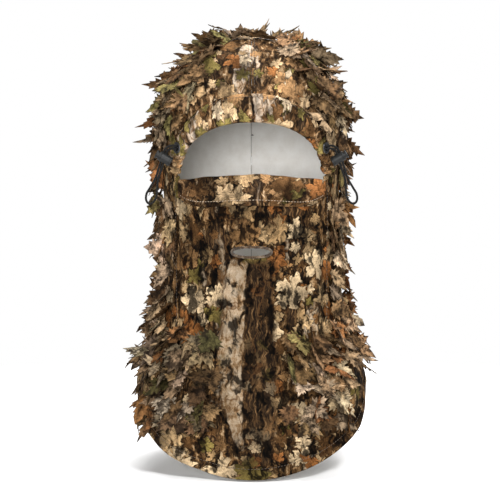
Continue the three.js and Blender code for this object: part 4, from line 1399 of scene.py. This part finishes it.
class Leaves:
    """Gathers many leaves into one mesh."""

    def __init__(self, bright=(0.5, 1.02)):
        self.bright = bright
        self.vertices, self.faces, self.uv, self.tint = [], [], [], []

    def add(self, root, right, down, out, size, rng, thick=0.55):
        outline = rng.choice(OUTLINES)
        points = [Vector(p) for p in outline] + [Vector((-x, y)) for x, y in outline[-2:0:-1]]
        stretch = rng.uniform(0.86, 1.12)
        points = [
            Vector((p.x * stretch + rng.uniform(-.018, .018), p.y + rng.uniform(-.018, .018)))
            for p in points
        ]
        count = len(points)
        centre = Vector(LEAF_CENTRE)
        flat = [centre] + [centre.lerp(p, r) for r in LEAF_RINGS for p in points]
        inner = [1.0] + [1.0 if r < 0.99 else 0.0 for r in LEAF_RINGS for _ in points]
        cup, droop, twist = rng.uniform(-0.5, 0.8), rng.uniform(-0.5, 0.5), rng.uniform(-0.6, 0.6)
        wave, phase = rng.uniform(0.02, 0.06), rng.uniform(0, 6.28)
        tint = rng.choices(LEAF_TINTS, TINT_WEIGHTS)[0]
        # A random brightness from the given range scales each leaf's tint: random tone, and painted shade
        # where a darker range is given.
        bright = rng.uniform(*self.bright)
        tint = tuple(min(t * bright * rng.uniform(0.95, 1.05), 1) for t in tint)
        base = len(self.vertices)
        top = []
        near = [(p, room) for p, room in CORD_ROOMS if (p - root).length < 50]
        for p in flat:
            rise = cup * p.x**2 - droop * 0.5 * p.y**2 + twist * p.x * (p.y - 0.3)
            rise += wave * math.sin(9 * p.x + 7 * p.y + phase)
            rise -= 0.12 * abs(p.x) * (1 - abs(p.x))
            top.append(off_cloth(root + (right * p.x + down * p.y + out * rise) * size, thick + 0.5))
        if any((q - p).length < room for p, room in near for q in top):
            return
        self.vertices += top + [p - out * thick for p in top]
        self.uv += [(p.x, p.y) for p in flat] * 2
        self.tint += [(*tint, a) for a in inner] * 2
        second = len(flat)
        for k in range(count):
            j = (k + 1) % count
            for layer, order in ((0, 1), (second, -1)):
                self.faces.append(tuple(base + layer + i for i in (0, 1 + k, 1 + j))[::order])
                for r in range(len(LEAF_RINGS) - 1):
                    a, b = 1 + r * count, 1 + (r + 1) * count
                    self.faces.append(tuple(base + layer + i for i in (a + k, b + k, b + j, a + j))[::order])
            rim = 1 + (len(LEAF_RINGS) - 1) * count
            near_rim, far_rim = base + rim, base + second + rim
            self.faces.append((near_rim + k, far_rim + k, far_rim + j, near_rim + j))

    def build(self, name, *nodes):
        corners = place([tuple(v) for v in self.vertices])
        obj = make_object(name, corners, self.faces, [LEAF], np.array(self.uv))
        colours = obj.data.color_attributes.new("tint", "FLOAT_COLOR", "POINT")
        colours.data.foreach_set("color", np.array(self.tint, dtype=np.float32).ravel())
        bm = bmesh.new()
        bm.from_mesh(obj.data)
        bmesh.ops.recalc_face_normals(bm, faces=bm.faces)
        bm.to_mesh(obj.data)
        bm.free()
        shade(obj, 60)
        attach(obj, "hood")
        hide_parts(*nodes)
        return obj


def leaf_at(leaves, azimuth, along, rng, size, lift=1.6, turn=0.6, tilt=(8, 46)):
    """One leaf hanging from the cloth at a place, turned a little and standing off it."""
    root = Vector(cloth_point(azimuth, along, lift))
    normal = Vector(outward(azimuth, along))
    up = Vector(surface(azimuth, along + 1) - surface(azimuth, along - 1)).normalized()
    down = -up
    across = down.cross(normal).normalized()
    a = rng.gauss(0, turn)
    way = down * math.cos(a) + across * math.sin(a)
    lean = math.radians(rng.uniform(*tilt))
    long = (way * math.cos(lean) + normal * math.sin(lean)).normalized()
    right = long.cross(normal).normalized()
    roll = math.radians(rng.uniform(-32, 32))
    out = right.cross(long).normalized()
    if out.dot(normal) < 0:
        out = -out
    right, out = right * math.cos(roll) + out * math.sin(roll), out * math.cos(roll) - right * math.sin(roll)
    leaves.add(root - long * 2, right, long, out, size, rng)


def ring_length(along, a, b):
    steps = surface(np.linspace(a, b, 60), along)
    return float(np.linalg.norm(np.diff(steps, axis=0), axis=1).sum())


def cord_tree():
    """Points of both loops and of the ways of their locks, with the room that leaves leave round each."""
    rooms = []
    for _, side in SIDES:
        rooms += [(p, 4.2) for p in curve_through(loop_route(side), 3)]
        _, down, aside, _, _, lock_at = loop_frame(side)
        for slid in (0, 7, 14):
            rooms += [(lock_at + down * slid + aside * k, 8.5) for k in (-10, -5, 0, 5, 10)]
    return rooms


CORD_ROOMS = cord_tree()

# Height of each strip and the angle from the face, in degrees, where it starts.
CROWN_ROWS = [(POLE - 24, 32), (POLE - 56, 36), (POLE - 88, 40), (POLE - 120, 46)]
SIDE_ROWS = [(318, 67), (285, 80), (252, 57), (219, 52), (186, 50), (153, 50), (122, 52)]
BIB_ROWS = [(128, 20, 48), (97, 19, 47), (66, 18, 44)]
CROWN_SPACING, SIDE_SPACING = 16, 15
LEAF_SIZE = 30.0
leaf_rng = random.Random(41)


def long_strip(name, along, from_degrees, spacing, size):
    """A strip of leaves round the back from beside the face: two staggered rows."""
    leaves = Leaves()
    for row in (0, 1):
        height = along + 5 - 16 * row
        start = math.radians(from_degrees)
        length = ring_length(height, start, 2 * math.pi - start)
        count = max(3, round(length / spacing))
        for i in range(count + 1):
            share = (i + 0.5 * row) / count
            if share > 1:
                continue
            azimuth = start + (2 * math.pi - 2 * start) * share
            azimuth += leaf_rng.uniform(-0.25, 0.25) * (2 * math.pi - 2 * start) / count
            here = height + leaf_rng.uniform(-4.5, 4.5)
            here = min(here, POLE - 14)
            scale = size * leaf_rng.uniform(0.78, 1.14)
            beside = min(azimuth, 2 * math.pi - azimuth)
            if beside < float(edge_azimuth(np.array(here))) + math.radians(5):
                continue
            # Leaves behind the cord loops lie flatter.
            tilt = (4, 18) if beside < math.radians(84) and 225 < here < 345 else (8, 46)
            leaf_at(leaves, azimuth, here, leaf_rng, scale, tilt=tilt)
    leaves.build(name + "_cut", name)


for kind, strips, spacing in (("crown", CROWN_ROWS, CROWN_SPACING), ("neck", SIDE_ROWS, SIDE_SPACING)):
    for i, (along, start) in enumerate(strips):
        long_strip(f"{kind}_leaves_{i + 1}", along, start, spacing, LEAF_SIZE)
for name, side in SIDES:
    for i, (along, a, b) in enumerate(BIB_ROWS):
        # Painted shade: the bib's leaves at negative x, on the side away from the key light, get a darker
        # range of tints.
        leaves = Leaves((0.22, 0.72) if side < 0 else (0.38, 0.98))
        for row in (0, 1):
            height = along + 5 - 15 * row
            count, last = (7, b + 15) if side < 0 else (5, b + 4)
            for k in range(count):
                azimuth = math.radians(a + 2 + (last - a) * (k + 0.5 * row) / (count - 0.5))
                azimuth += leaf_rng.uniform(-0.04, 0.04)
                scale = LEAF_SIZE * leaf_rng.uniform(0.75, 1.1)
                leaf_at(leaves, side * azimuth, height + leaf_rng.uniform(-4, 4), leaf_rng, scale)
        node = f"bib_leaves_{name}_{i + 1}"
        leaves.build(node + "_cut", node)
